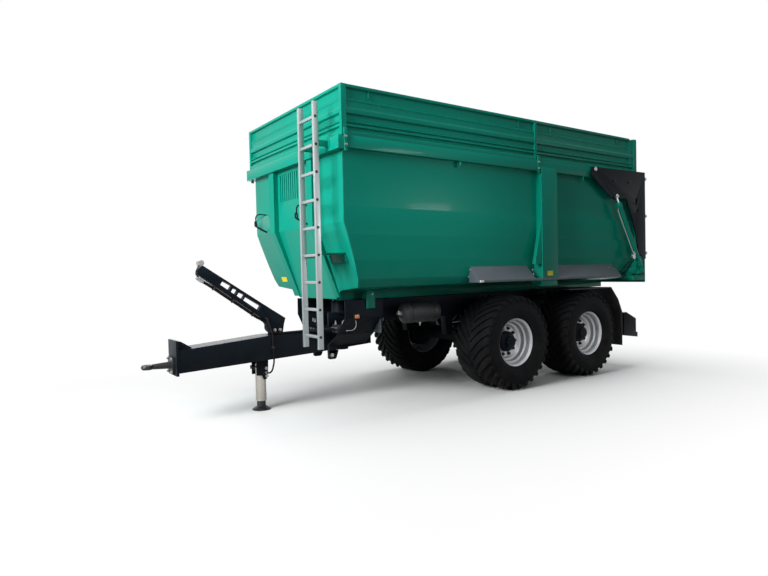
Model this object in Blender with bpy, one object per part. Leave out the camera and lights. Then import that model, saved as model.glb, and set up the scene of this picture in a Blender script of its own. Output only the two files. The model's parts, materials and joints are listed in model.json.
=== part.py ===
"""Tandem tipping trailer: a steel trough on a two-rail chassis with a leaf-sprung tandem.

Sizes are in metres. They are drawn from the middle of the tandem on the ground, with +X towards the
towing eye, +Y to the trailer's left and +Z up. One empty then shifts everything, so that the origin
lies under the middle of the whole length.
"""

import math

import bmesh
import bpy
from mathutils import Matrix, Vector

# Clearances
FACE_GAP = 0.0003
RUNNING_GAP = 0.0008

# Tandem and wheels
AXLE_SPACING = 1.46
WHEEL_TRACK = 1.82
TYRE_RADIUS = 0.595
TYRE_HALF_WIDTH = 0.29
TREAD_HALF_WIDTH = 0.25
LUG_HEIGHT = 0.028
LUGS_PER_SIDE = 16
LUG_SWEEP = math.radians(13)
RIM_SEAT_RADIUS = 0.2858
RIM_FLANGE_RADIUS = 0.2985
RIM_HALF_WIDTH = 0.235
RIM_SEGMENTS = 18
HUB_RADIUS = 0.13
HUB_BACK_Y = -0.03
DISC_Y = 0.03
AXLE_HALF = 0.06
DRUM_RADIUS = 0.19
DRUM_WIDTH = 0.16

# Chassis
RAIL_Y = 0.42
RAIL_WIDTH = 0.10
RAIL_BOTTOM = 0.93
RAIL_TOP = 1.195
CROSS_MEMBER_XS = (2.05, 1.0, 0.0, -1.0)
CROSS_MEMBER_LENGTH = 0.12
SPRING_WIDTH = 0.08
SPRING_RISE = 0.075
SPRING_THICK = 0.055
SPRING_LEAF = 0.016
HANGER_X = 1.24
ROCKER_HALF = 0.16
BRAKE_Y = 0.30
BRAKE_RADIUS = 0.07
BRAKE_LENGTH = 0.13

# Tipping gear
TIP_X = -1.70
CYLINDER_X = 2.60
TRUNNION_Z = 0.985
TIP_EYE_Z = 1.27
TIP_Z = (TRUNNION_Z + TIP_EYE_Z) / 2
TIP_PIN_RADIUS = 0.03
REST_PAD_XS = (2.15, -0.2)
REST_PAD_HALF = 0.07
TUB_LIFT = 0.008
STAGE_COUNT = 6
STAGE_STEP = 0.0115
STAGE_WALL = 0.0112
BARREL_RADIUS = 0.10
BARREL_BOTTOM = 0.585
BARREL_TOP = 1.175
STAGE_RISE = 0.006
TRUNNION_RADIUS = 0.025

# Front cradle round the cylinder
CRADLE_FRONT = 2.87
CRADLE_BACK = 2.36
CRADLE_WALL = 0.014
CRADLE_TOP = 1.2
CRADLE_LUG_INNER = 0.158

# Drawbar and towing eye
BEAM_HALF_WIDTH = 0.14
BEAM_FRONT = 4.60
BEAM_REAR = 2.24
FORK_REAR = 2.47
FORK_FRONT = 2.90
FORK_INNER = 0.115
HEAD_PLATE = 0.025
HEAD_TOP = 0.86
HEAD_BOTTOM = 0.50
# The beam's bends: upper edge from the front, lower edge from the rear
BEAM_UPPER = ((3.76, 0.822), (3.57, 0.835), (3.05, 0.829))
BEAM_LOWER = ((3.06, 0.588), (3.77, 0.564))
EYE_X = 4.85
EYE_Z = 0.606
EYE_RADIUS = 0.062
EYE_HOLE = 0.025
EYE_THICK = 0.045

# Hose arm: foot, start and direction of its lower edge, windows between its two bars
ARM_FOOT = (3.376, 3.53)
ARM_START = (3.542, 0.973)
ARM_RISE = math.radians(35.3)
ARM_LENGTH = 0.965
ARM_DEPTH = 0.14
ARM_TIP_DEPTH = 0.11
ARM_HALF = 0.035
ARM_BAR = 0.045
# Each window: where it starts and ends along the arm
ARM_WINDOWS = ((0.18, 0.39), (0.405, 0.48), (0.50, 0.56), (0.585, 0.70))
HOSE_RADIUS = 0.011
HOSE_PITCH = 0.024
HOSE_SIDES = 6

# Jack
JACK_X = 3.645
JACK_PIVOT_X = 3.604
JACK_PIVOT_Z = 0.466
JACK_TUBE_RADIUS = 0.058
JACK_TUBE_TOP = 0.52
JACK_TUBE_BOTTOM = 0.104
JACK_LEG_RADIUS = 0.0495
JACK_LEG_INSIDE = 0.286
FOOT_RADIUS = 0.102
FOOT_HEIGHT = 0.04
JACK_PLATE = 0.012
JACK_SIDE = JACK_TUBE_RADIUS + 0.004

# Trough
WALL = 0.012
TUB_REAR = -2.03
TUB_TOP = 2.77
FRONT_X = 3.173
FRONT_FOLD_Z = 2.03
FRONT_SLOPE = 0.34
FLOOR_Z = 1.315
FLOOR_FLAT_HALF = 0.60
APRON_Z = 1.215
APRON_HALF = 0.45
BEAM_Y = 0.42
UNDER_BEAM_WIDTH = 0.09
TUB_HALF = 1.105
# Each fold of the side: height, distance in from the half width
SIDE_FOLDS = ((TUB_TOP, 0.0), (2.19, 0.0), (1.90, 0.011), (1.64, 0.035), (1.44, 0.075), (1.35, 0.13))
RIM_PROUD = 0.075
RIM_OUT = TUB_HALF + RIM_PROUD
RIM_HEIGHT = 0.113
CROSSBEAM_DEPTH = 0.087
CROSSBEAM_BOTTOM = 2.745
# Each rope hook: place along the rim
ROPE_HOOK_XS = (1.64, -0.62)
HOOK_RADIUS = 0.038
HOOK_WIRE = 0.012
# Grab handles on the front wall: places of a handle's inner end and outer bar
HANDLES = ((-0.755, -0.975), (0.15, 0.0))
HANDLE_RADIUS = 0.009
HANDLE_REACH = 0.085
WINDOW_FIRST_Y = -0.36
WINDOW_PITCH = 0.055
WINDOW_SLOTS = 10
WINDOW_SLOT = 0.022
WINDOW_LOW = 2.38
WINDOW_HIGH = 2.70

# Extension on the rim
EXT_FRONT = 3.217
EXT_REAR = -1.90
EXT_TOP = 3.39
EXT_INSET = 0.007
EXT_OUT = RIM_OUT - EXT_INSET
EXT_RIB = 0.030
EXT_WALL = 0.008
EXT_POST = 0.06
EXT_MID_X = 0.325
EXT_MID_POST = 0.035
EXT_BRACKET = 0.011
EXT_BRACKET_WIDTH = 0.035
EXT_END_POST = 0.077
EXT_END_PLATE = 0.17
EXT_END_DROP = 0.015

# Side posts and deflectors
POST_FRONT = 0.27
POST_REAR = -0.03
POST_PROUD = 0.095
POST_OUT = TUB_HALF + POST_PROUD
POST_BOTTOM = 1.39
POST_CAP = 0.038
STUB_INSET = 0.015
STUB_BOTTOM = 1.285
SHELF_FRONT = 1.24
SHELF_REAR = -1.70
SHELF_TOP = 1.55
SHELF_LIP = 1.385
SHELF_PROUD = 0.10
SHELF_OUT = TUB_HALF + SHELF_PROUD
SHELF_SHEET = 0.012
SHELF_FLANGE = 0.025

# Tailgate
GATE_PIVOT_X = -0.85
GATE_PIVOT_Z = 2.87
GATE_FACE = TUB_REAR - 0.006
GATE_THICK = 0.035
GATE_RIB = 0.045
GATE_TOP = 2.915
GATE_BOTTOM = 1.27
ARM_GAP = 0.012
ARM_INNER = RIM_OUT + ARM_GAP
ARM_THICK = 0.014
ARM_OUT = ARM_INNER + ARM_THICK
PIVOT_PIN_RADIUS = 0.02
HOOK_REACH = 0.09
GATE_KNOB_Y = ARM_INNER - 0.042
GATE_KNOB_ZS = (2.83, 2.27, 1.71)

# Each gate arm: foot of its flange, points of its inner edge from the foot up, and its oval hole
GATE_ARM_FOOT = 1.62
GATE_ARM_EDGE = ((-1.80, 2.04), (-1.71, 2.26), (-1.58, 2.50), (-1.215, 2.49))
GATE_OVAL = (-1.83, 2.47)

# Gate cylinders
GATE_BOSS = 0.006
GATE_EYE_HALF = 0.018
GATE_CYLINDER_Y = ARM_OUT + GATE_BOSS + GATE_EYE_HALF
GATE_CYLINDER_FOOT = (-1.925, 1.45)
GATE_CYLINDER_EYE = (-1.295, 2.515)
GATE_BARREL_RADIUS = 0.033
GATE_ROD_RADIUS = 0.016
VALVE_AT = 0.24

# Ladder
LADDER_X = 3.40
LADDER_BOTTOM = 0.74
LADDER_TOP = 3.23
LADDER_INNER_Y = 0.65
LADDER_OUTER_Y = 0.97
LADDER_RAIL = (0.06, 0.028)
RUNG_COUNT = 9
RUNG_FIRST = 0.865
RUNG_PITCH = 0.277
RUNG_SIZE = 0.03
LADDER_ARM = 0.024
LADDER_ARM_LOW = 2.79
LADDER_ARM_HIGH = 2.85
LADDER_SHELF = 1.72
LADDER_SHELF_DROP = 0.10

# Mudguards, lamps and tank
GUARD_TOP = 1.222
GUARD_REAR = -1.50
GUARD_BOTTOM = 0.36
GUARD_FRONT = -0.30
GUARD_THICK = 0.012
GUARD_INNER = 0.64
GUARD_OUTER = 1.17
CARRIER_X = -1.62
CARRIER_Z = 0.64
CARRIER_TUBE = 0.08
LAMP_INNER = 0.80
LAMP_OUTER = 1.16
TANK_RADIUS = 0.12
TANK_FRONT = 2.16
TANK_REAR = 1.60
TANK_Y = 0.67
TANK_Z = 1.02

ORIGIN_X = (EYE_X + EYE_RADIUS + GATE_FACE - GATE_THICK - HOOK_REACH) / 2

# Paints: colour, roughness, metallic
PAINTS = {
    "green_paint": ((0.0, 0.235, 0.165, 1.0), 0.3, 0.0),
    "dark_paint": ((0.035, 0.042, 0.05, 1.0), 0.4, 0.0),
    "black_plastic": ((0.012, 0.012, 0.014, 1.0), 0.6, 0.0),
    "rubber": ((0.02, 0.02, 0.021, 1.0), 0.85, 0.0),
    "silver_paint": ((0.55, 0.57, 0.59, 1.0), 0.3, 0.6),
    "aluminium": ((0.66, 0.67, 0.69, 1.0), 0.35, 0.9),
    "galvanised": ((0.5, 0.49, 0.46, 1.0), 0.45, 0.8),
    "chrome": ((0.75, 0.76, 0.78, 1.0), 0.12, 1.0),
    "red_lens": ((0.45, 0.02, 0.015, 1.0), 0.2, 0.0),
}


def paint(name):
    """The material of that name, made when first asked for."""
    found = bpy.data.materials.get(name)
    if found:
        return found
    colour, roughness, metallic = PAINTS[name]
    made = bpy.data.materials.new(name)
    made.use_nodes = True
    shader = made.node_tree.nodes["Principled BSDF"]
    shader.inputs["Base Color"].default_value = colour
    shader.inputs["Roughness"].default_value = roughness
    shader.inputs["Metallic"].default_value = metallic
    return made


def facing_out(bm):
    bmesh.ops.recalc_face_normals(bm, faces=bm.faces)
    return bm


def box(low, high):
    """A block between two corners."""
    bm = bmesh.new()
    low, high = Vector(low), Vector(high)
    size = high - low
    bmesh.ops.create_cube(bm, size=1.0, matrix=Matrix.Translation((low + high) / 2) @ Matrix.Diagonal((*size, 1.0)))
    return bm


def place(axis, along, a, b):
    """A point from its place along one axis and its places on the two others, in X, Y, Z order."""
    return {"X": (along, a, b), "Y": (a, along, b), "Z": (a, b, along)}[axis]


def prism(outline, axis, low, high):
    """A closed outline, drawn square to the axis, pushed from low to high."""
    bm = bmesh.new()
    face = bm.faces.new([bm.verts.new(place(axis, low, a, b)) for a, b in outline])
    pushed = bmesh.ops.extrude_face_region(bm, geom=[face])["geom"]
    ends = [item for item in pushed if isinstance(item, bmesh.types.BMVert)]
    bmesh.ops.translate(bm, verts=ends, vec=place(axis, high - low, 0.0, 0.0))
    return facing_out(bm)


def rod(start, end, radius, sides=12, end_radius=None):
    """A round bar, or a cone, between two points."""
    bm = bmesh.new()
    start, end = Vector(start), Vector(end)
    run = end - start
    turn = Vector((0, 0, 1)).rotation_difference(run).to_matrix().to_4x4()
    bmesh.ops.create_cone(
        bm, cap_ends=True, segments=sides, radius1=radius, radius2=radius if end_radius is None else end_radius,
        depth=run.length, matrix=Matrix.Translation((start + end) / 2) @ turn,
    )
    return bm


def lathe(profile, sides, axis="Y", centre=(0, 0, 0)):
    """A profile of (place along the axis, radius), turned once round. One whose ends aren't on the axis is closed."""
    bm = bmesh.new()
    verts = [bm.verts.new(place(axis, along, 0.0, radius)) for along, radius in profile]
    edges = [bm.edges.new(pair) for pair in zip(verts, verts[1:])]
    if profile[0][1] > 0 and profile[-1][1] > 0:
        edges.append(bm.edges.new((verts[-1], verts[0])))
    bmesh.ops.spin(
        bm, geom=verts + edges, cent=(0, 0, 0), axis=place(axis, 1.0, 0.0, 0.0), angle=math.tau,
        steps=sides, use_merge=True,
    )
    bmesh.ops.remove_doubles(bm, verts=bm.verts, dist=1e-5)
    bmesh.ops.translate(bm, verts=bm.verts, vec=centre)
    return facing_out(bm)


def hose(route, radius, sides=HOSE_SIDES):
    """A round hose or bar along a route of points, closed at both ends."""
    bm = bmesh.new()
    route = [Vector(point) for point in route]
    ways = [(after - before).normalized() for before, after in zip(route, route[1:])]
    facings = [ways[0]] + [(before + after).normalized() for before, after in zip(ways, ways[1:])] + [ways[-1]]
    ring = bmesh.ops.create_circle(bm, cap_ends=True, segments=sides, radius=radius)["verts"]
    turn = Vector((0, 0, 1)).rotation_difference(facings[0])
    bmesh.ops.transform(bm, verts=ring, matrix=Matrix.Translation(route[0]) @ turn.to_matrix().to_4x4())
    cap = bm.faces[:]
    for number, point in enumerate(route[1:], 1):
        grown = bmesh.ops.extrude_face_region(bm, geom=cap)["geom"]
        if number > 1:
            bmesh.ops.delete(bm, geom=cap, context="FACES_ONLY")
        verts = [item for item in grown if isinstance(item, bmesh.types.BMVert)]
        cap = [item for item in grown if isinstance(item, bmesh.types.BMFace)]
        bmesh.ops.translate(bm, verts=verts, vec=point - route[number - 1])
        turn = facings[number - 1].rotation_difference(facings[number])
        bmesh.ops.rotate(bm, verts=verts, cent=point, matrix=turn.to_matrix())
    return facing_out(bm)


def smooth_route(corners, steps=4):
    """Points of a smooth curve through the corners of a route."""
    corners = [Vector(corner) for corner in corners]
    ends = [2 * corners[0] - corners[1]] + corners + [2 * corners[-1] - corners[-2]]
    points = []
    for a, b, c, d in zip(ends, ends[1:], ends[2:], ends[3:]):
        for step in range(steps):
            t = step / steps
            points.append(0.5 * (2 * b + (c - a) * t + (2 * a - 5 * b + 4 * c - d) * t**2 + (3 * b - a - 3 * c + d) * t**3))
    return points + [corners[-1]]


def mirrored(bm):
    """A copy on the trailer's other side."""
    other = bm.copy()
    bmesh.ops.scale(other, vec=(1, -1, 1), verts=other.verts)
    bmesh.ops.reverse_faces(other, faces=other.faces)
    return other


def both(bm):
    return [bm, mirrored(bm)]


def mesh_from(name, shapes):
    """One mesh that holds all of the shapes."""
    joined = bmesh.new()
    for shape in shapes:
        scratch = bpy.data.meshes.new(name)
        shape.to_mesh(scratch)
        joined.from_mesh(scratch)
        bpy.data.meshes.remove(scratch)
        shape.free()
    mesh = bpy.data.meshes.new(name)
    joined.to_mesh(mesh)
    joined.free()
    return mesh


def joint_at(name, parent, pivot):
    """An empty on a joint's axis. Pieces under it are drawn in the trailer's own places."""
    empty = bpy.data.objects.new(name, None)
    bpy.context.scene.collection.objects.link(empty)
    empty.empty_display_size = 0.1
    empty["pivot"] = pivot
    if parent:
        empty.parent = parent
        empty.location = Vector(pivot) - Vector(parent["pivot"])
    else:
        empty.location = Vector((-ORIGIN_X, 0, 0))
    return empty


def hold(obj, parent):
    """Hangs a piece, drawn in the trailer's places, under a joint's empty."""
    bpy.context.scene.collection.objects.link(obj)
    obj.parent = parent
    obj.matrix_parent_inverse = Matrix.Translation(-Vector(parent["pivot"]))


def piece(name, colour, parent, shapes, cuts=()):
    """One object: the first shape joined with the others, less the cuts."""
    body = bpy.data.objects.new(name, mesh_from(name, shapes[:1]))
    body.data.materials.append(paint(colour))
    hold(body, parent)
    for role, group, operation in (("join", shapes[1:], "UNION"), ("cut", cuts, "DIFFERENCE")):
        if not group:
            continue
        tool = bpy.data.objects.new(name + "_" + role, mesh_from(name + "_" + role, group))
        hold(tool, parent)
        tool.hide_render = True
        tool.display_type = "WIRE"
        boolean = body.modifiers.new(role, "BOOLEAN")
        boolean.operation = operation
        boolean.object = tool
        boolean.use_self = True
    return body


def smooth(obj, degrees=35):
    obj.data.shade_smooth()
    obj.data.set_sharp_from_angle(angle=math.radians(degrees))
    return obj


def front_x(z):
    """The outer face of the front wall at a height: upright above the fold, sloping back below it."""
    return FRONT_X - max(0.0, FRONT_FOLD_Z - z) * FRONT_SLOPE


def side_profile(inset):
    """The side's folds from the top down, moved inwards."""
    return [(TUB_HALF - back - inset, z) for z, back in SIDE_FOLDS]


def side_y(z):
    """The side's outer face at a height."""
    folds = side_profile(0.0)
    for (y_high, high), (y_low, low) in zip(folds, folds[1:]):
        if z >= low:
            return y_low + (y_high - y_low) * (z - low) / (high - low)
    return folds[-1][0]


def sloped_front(bm, back=0.0):
    """Cuts a shape off behind the front wall's two faces, moved back from its outer face."""
    geom = bm.verts[:] + bm.edges[:] + bm.faces[:]
    normal = Vector((1, 0, -FRONT_SLOPE)).normalized()
    for point, across in (((FRONT_X - back, 0, FRONT_FOLD_Z), (1, 0, 0)), ((FRONT_X - back, 0, FRONT_FOLD_Z), normal)):
        cut = bmesh.ops.bisect_plane(bm, geom=geom, plane_co=point, plane_no=across, clear_outer=True)
        edges = [item for item in cut["geom_cut"] if isinstance(item, bmesh.types.BMEdge)]
        bmesh.ops.edgenet_fill(bm, edges=edges)
        geom = bm.verts[:] + bm.edges[:] + bm.faces[:]
    return facing_out(bm)


def build_chassis(root):
    rail = prism(
        [(CRADLE_BACK - FACE_GAP, RAIL_TOP), (TIP_X, RAIL_TOP)]
        + [
            (TIP_X - (RAIL_TOP - TIP_Z) * math.sin(turn), TIP_Z + (RAIL_TOP - TIP_Z) * math.cos(turn))
            for turn in (math.pi / 4, math.pi / 2)
        ]
        + [(TIP_X - 0.02, RAIL_BOTTOM), (CRADLE_BACK - FACE_GAP, RAIL_BOTTOM)],
        "Y", RAIL_Y - RAIL_WIDTH / 2, RAIL_Y + RAIL_WIDTH / 2,
    )
    members = [
        box((x - CROSS_MEMBER_LENGTH / 2, -RAIL_Y, RAIL_BOTTOM + 0.03), (x + CROSS_MEMBER_LENGTH / 2, RAIL_Y, RAIL_TOP - 0.03))
        for x in CROSS_MEMBER_XS
    ]
    arm = box(
        (CARRIER_X - CARRIER_TUBE / 2, RAIL_Y - 0.03, CARRIER_Z + CARRIER_TUBE / 2 + FACE_GAP),
        (CARRIER_X + CARRIER_TUBE / 2, RAIL_Y + 0.03, RAIL_BOTTOM + 0.05),
    )
    pin = rod((TIP_X, -RAIL_Y, TIP_Z), (TIP_X, RAIL_Y, TIP_Z), TIP_PIN_RADIUS, 16)
    pads = []
    for x in REST_PAD_XS:
        low = (x - REST_PAD_HALF, RAIL_Y - RAIL_WIDTH / 2 + 0.01, RAIL_TOP - 0.005)
        pads.extend(both(box(low, (x + REST_PAD_HALF, RAIL_Y + RAIL_WIDTH / 2 - 0.01, RAIL_TOP + TUB_LIFT - FACE_GAP))))
    piece("chassis_frame", "dark_paint", root, [*both(rail), *members, *both(arm), *pads, pin])

    def panel_outline(inset):
        return [
            (0.585 - inset, CRADLE_TOP), (0.59 - inset, 1.0), (0.385 - inset, 0.79),
            (0.20 - inset, 0.66), (0.20 - inset, 0.57),
        ]

    inner = panel_outline(CRADLE_WALL)
    inner[-2:] = [(CRADLE_LUG_INNER, 0.66), (CRADLE_LUG_INNER, 0.57)]
    wall = prism(panel_outline(0.0) + inner[::-1], "X", CRADLE_BACK, CRADLE_FRONT)
    trim = box((CRADLE_BACK - 0.01, 0.15, 0.5), (CRADLE_FRONT - 0.1, 0.3, 0.655))
    back = box((CRADLE_BACK, -0.58, 0.88), (CRADLE_BACK + CRADLE_WALL, 0.58, CRADLE_TOP - 0.01))
    cheek = box((CRADLE_BACK + 0.005, 0.125, 0.88), (CRADLE_FRONT - 0.03, 0.15, TRUNNION_Z + 0.06))
    bore = rod((CYLINDER_X, -0.3, TRUNNION_Z), (CYLINDER_X, 0.3, TRUNNION_Z), TRUNNION_RADIUS + RUNNING_GAP, 16)
    manifold = box((CYLINDER_X + 0.06, 0.20, 0.81), (CYLINDER_X + 0.22, 0.42, 0.91))
    lamp_house = box((2.69, 0.575, 0.985), (2.77, 0.612, 1.045))
    piece("front_cradle", "dark_paint", root, [back, *both(wall), *both(cheek), manifold, *both(lamp_house)], [*both(trim), bore])


def build_suspension(root):
    seat = TYRE_RADIUS + AXLE_HALF + FACE_GAP
    for side, name in ((1, "left"), (-1, "right")):
        inner, outer = sorted((side * (RAIL_Y - SPRING_WIDTH / 2), side * (RAIL_Y + SPRING_WIDTH / 2)))
        shapes = [
            prism(
                [
                    (-HANGER_X - 0.06, RAIL_BOTTOM - FACE_GAP), (-HANGER_X + 0.06, RAIL_BOTTOM - FACE_GAP),
                    (-HANGER_X + 0.04, seat + 0.03), (-HANGER_X - 0.04, seat + 0.03),
                ],
                "Y", inner - 0.01, outer + 0.01,
            )
        ]
        shapes.append(
            prism(
                [
                    (HANGER_X - 0.06, RAIL_BOTTOM - FACE_GAP), (HANGER_X + 0.06, RAIL_BOTTOM - FACE_GAP),
                    (HANGER_X + 0.04, seat + 0.03), (HANGER_X - 0.04, seat + 0.03),
                ],
                "Y", inner - 0.01, outer + 0.01,
            )
        )
        shapes.append(
            prism(
                [(-0.09, RAIL_BOTTOM - FACE_GAP), (0.09, RAIL_BOTTOM - FACE_GAP), (0.04, seat + 0.06), (-0.04, seat + 0.06)],
                "Y", inner - 0.01, outer + 0.01,
            )
        )
        shapes.append(
            prism(
                [
                    (-ROCKER_HALF, seat + SPRING_RISE + 0.015), (0.0, seat + 0.14), (ROCKER_HALF, seat + SPRING_RISE + 0.015),
                    (ROCKER_HALF, seat + SPRING_RISE - 0.03), (0.0, seat + 0.04), (-ROCKER_HALF, seat + SPRING_RISE - 0.03),
                ],
                "Y", inner - 0.004, outer + 0.004,
            )
        )
        for axle in (1, -1):
            middle = axle * AXLE_SPACING / 2
            ends = sorted((axle * HANGER_X, axle * (ROCKER_HALF - 0.03)))
            low = [(ends[0], seat + SPRING_RISE), (middle - 0.08, seat), (middle + 0.08, seat), (ends[1], seat + SPRING_RISE)]
            high = [
                (ends[1], seat + SPRING_RISE + SPRING_LEAF), (middle + 0.1, seat + SPRING_THICK),
                (middle - 0.1, seat + SPRING_THICK), (ends[0], seat + SPRING_RISE + SPRING_LEAF),
            ]
            shapes.append(prism(low + high, "Y", inner, outer))
        piece("springs_" + name, "dark_paint", root, shapes)
    for end, name in ((1, "front"), (-1, "rear")):
        x = end * AXLE_SPACING / 2
        hub_y = WHEEL_TRACK / 2 + HUB_BACK_Y - FACE_GAP
        beam = box(
            (x - AXLE_HALF, -hub_y + DRUM_WIDTH / 2, TYRE_RADIUS - AXLE_HALF),
            (x + AXLE_HALF, hub_y - DRUM_WIDTH / 2, TYRE_RADIUS + AXLE_HALF),
        )
        drum = rod((x, hub_y - DRUM_WIDTH, TYRE_RADIUS), (x, hub_y, TYRE_RADIUS), DRUM_RADIUS, 16)
        inside = x - AXLE_HALF - 0.11
        chamber = rod((inside - BRAKE_LENGTH / 2, BRAKE_Y, TYRE_RADIUS), (inside + BRAKE_LENGTH / 2, BRAKE_Y, TYRE_RADIUS), BRAKE_RADIUS, 12)
        bracket = box((inside, BRAKE_Y - 0.03, TYRE_RADIUS - 0.02), (x, BRAKE_Y + 0.03, TYRE_RADIUS + 0.02))
        camshaft = rod((x - AXLE_HALF - 0.035, BRAKE_Y + 0.02, TYRE_RADIUS), (x - AXLE_HALF - 0.035, hub_y - 0.02, TYRE_RADIUS), 0.018, 8)
        piece("axle_" + name, "dark_paint", root, [beam, *both(drum), *both(chamber), *both(bracket), *both(camshaft)])


def tyre_mesh():
    """A bulging tyre whose lugs are raised from the tread, each half's swept from shoulder to middle."""
    columns = 2 * LUGS_PER_SIDE
    step = math.tau / columns
    base = TYRE_RADIUS - LUG_HEIGHT
    middle_gap = 0.014
    half = [
        (middle_gap, base + 0.001), (TREAD_HALF_WIDTH * 0.52, base), (TREAD_HALF_WIDTH, base - 0.012),
        (TYRE_HALF_WIDTH - 0.004, base - 0.062), (TYRE_HALF_WIDTH, 0.425), (RIM_HALF_WIDTH + 0.03, 0.335),
        (RIM_HALF_WIDTH - 0.0135, RIM_FLANGE_RADIUS + 0.006),
        (RIM_HALF_WIDTH - 0.0135, (RIM_SEAT_RADIUS + FACE_GAP) / math.cos(step / 2)),
    ]
    bm = lathe([(-y, r) for y, r in half[::-1]] + half, columns)
    tread_low = base - 0.02
    for vert in bm.verts:
        radius = math.hypot(vert.co.x, vert.co.z)
        side = 1 if vert.co.y > 0 else -1
        inwards = 1 - min(1.0, abs(vert.co.y) / TREAD_HALF_WIDTH)
        if radius < tread_low:
            continue
        index = round(math.atan2(vert.co.x, vert.co.z) / step)
        wide = (index % 2 == 0) == (side > 0)
        angle = index * step + (0.1 if wide else -0.1) * step + LUG_SWEEP * inwards**0.8
        vert.co.x, vert.co.z = radius * math.sin(angle), radius * math.cos(angle)
    raised = {}
    for face in bm.faces:
        spots = [vert.co for vert in face.verts]
        if min(math.hypot(spot.x, spot.z) for spot in spots) < tread_low:
            continue
        y = face.calc_center_median().y
        if abs(y) < middle_gap:
            continue
        side = 1 if y > 0 else -1
        outer = min(spots, key=lambda spot: -abs(spot.y))
        sweep = LUG_SWEEP * (1 - min(1.0, abs(outer.y) / TREAD_HALF_WIDTH)) ** 0.8
        angles = []
        for spot in spots:
            if abs(abs(spot.y) - abs(outer.y)) < 1e-4:
                angles.append((math.atan2(spot.x, spot.z) - sweep) / step)
        if max(angles) - min(angles) > 2:
            angles = [angle if angle > 0 else angle + columns for angle in angles]
        column = math.floor(sum(angles) / 2)
        if (column % 2 == 0) == (side > 0):
            raised.setdefault((side, column % columns), []).append(face)
    for faces in raised.values():
        grown = bmesh.ops.extrude_face_region(bm, geom=faces)["geom"]
        bmesh.ops.delete(bm, geom=faces, context="FACES_ONLY")
        for item in grown:
            if isinstance(item, bmesh.types.BMVert):
                radius = math.hypot(item.co.x, item.co.z)
                grow = (TYRE_RADIUS - 0.006 * (abs(item.co.y) > TREAD_HALF_WIDTH - 0.01)) / radius
                item.co.x *= grow
                item.co.z *= grow
    return mesh_from("tyre", [facing_out(bm)])


def rim_mesh():
    """A deep-dished rim with its hub, its outer side at +Y."""
    w, seat, flange = RIM_HALF_WIDTH, RIM_SEAT_RADIUS, RIM_FLANGE_RADIUS
    profile = [
        (0.165, 0.0), (0.165, 0.055), (0.13, 0.07), (0.12, HUB_RADIUS - 0.005), (DISC_Y + 0.02, HUB_RADIUS),
        (DISC_Y + 0.02, 0.205), (0.09, 0.250), (0.15, 0.256), (0.165, 0.274), (w - 0.008, 0.277), (w, flange),
        (w - 0.011, flange), (w - 0.013, seat), (0.013 - w, seat), (0.011 - w, flange), (-w, flange),
        (0.008 - w, 0.272), (-0.02, 0.262), (DISC_Y - 0.01, 0.20), (DISC_Y - 0.01, HUB_RADIUS + 0.02),
        (HUB_BACK_Y, HUB_RADIUS + 0.02), (HUB_BACK_Y, 0.0),
    ]
    return mesh_from("rim", [lathe(profile, RIM_SEGMENTS)])


def build_wheels(root):
    tyre, rim = tyre_mesh(), rim_mesh()
    tyre.materials.append(paint("rubber"))
    rim.materials.append(paint("silver_paint"))
    for end, end_name in ((1, "front"), (-1, "rear")):
        for side, side_name in ((1, "left"), (-1, "right")):
            pivot = (end * AXLE_SPACING / 2, side * WHEEL_TRACK / 2, TYRE_RADIUS)
            spin = joint_at("wheel_" + end_name + "_" + side_name, root, pivot)
            for kind, mesh in (("tyre", tyre), ("rim", rim)):
                wheel = bpy.data.objects.new("_".join((kind, end_name, side_name)), mesh)
                bpy.context.scene.collection.objects.link(wheel)
                wheel.parent = spin
                if side < 0:
                    wheel.rotation_euler = (0, 0, math.pi)
                smooth(wheel)


def beam_top(x):
    """The height of the drawbar's top under the hose arm."""
    (front, high), (rear, low) = BEAM_UPPER[-2:]
    return low + (high - low) * (x - rear) / (front - rear)


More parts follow.
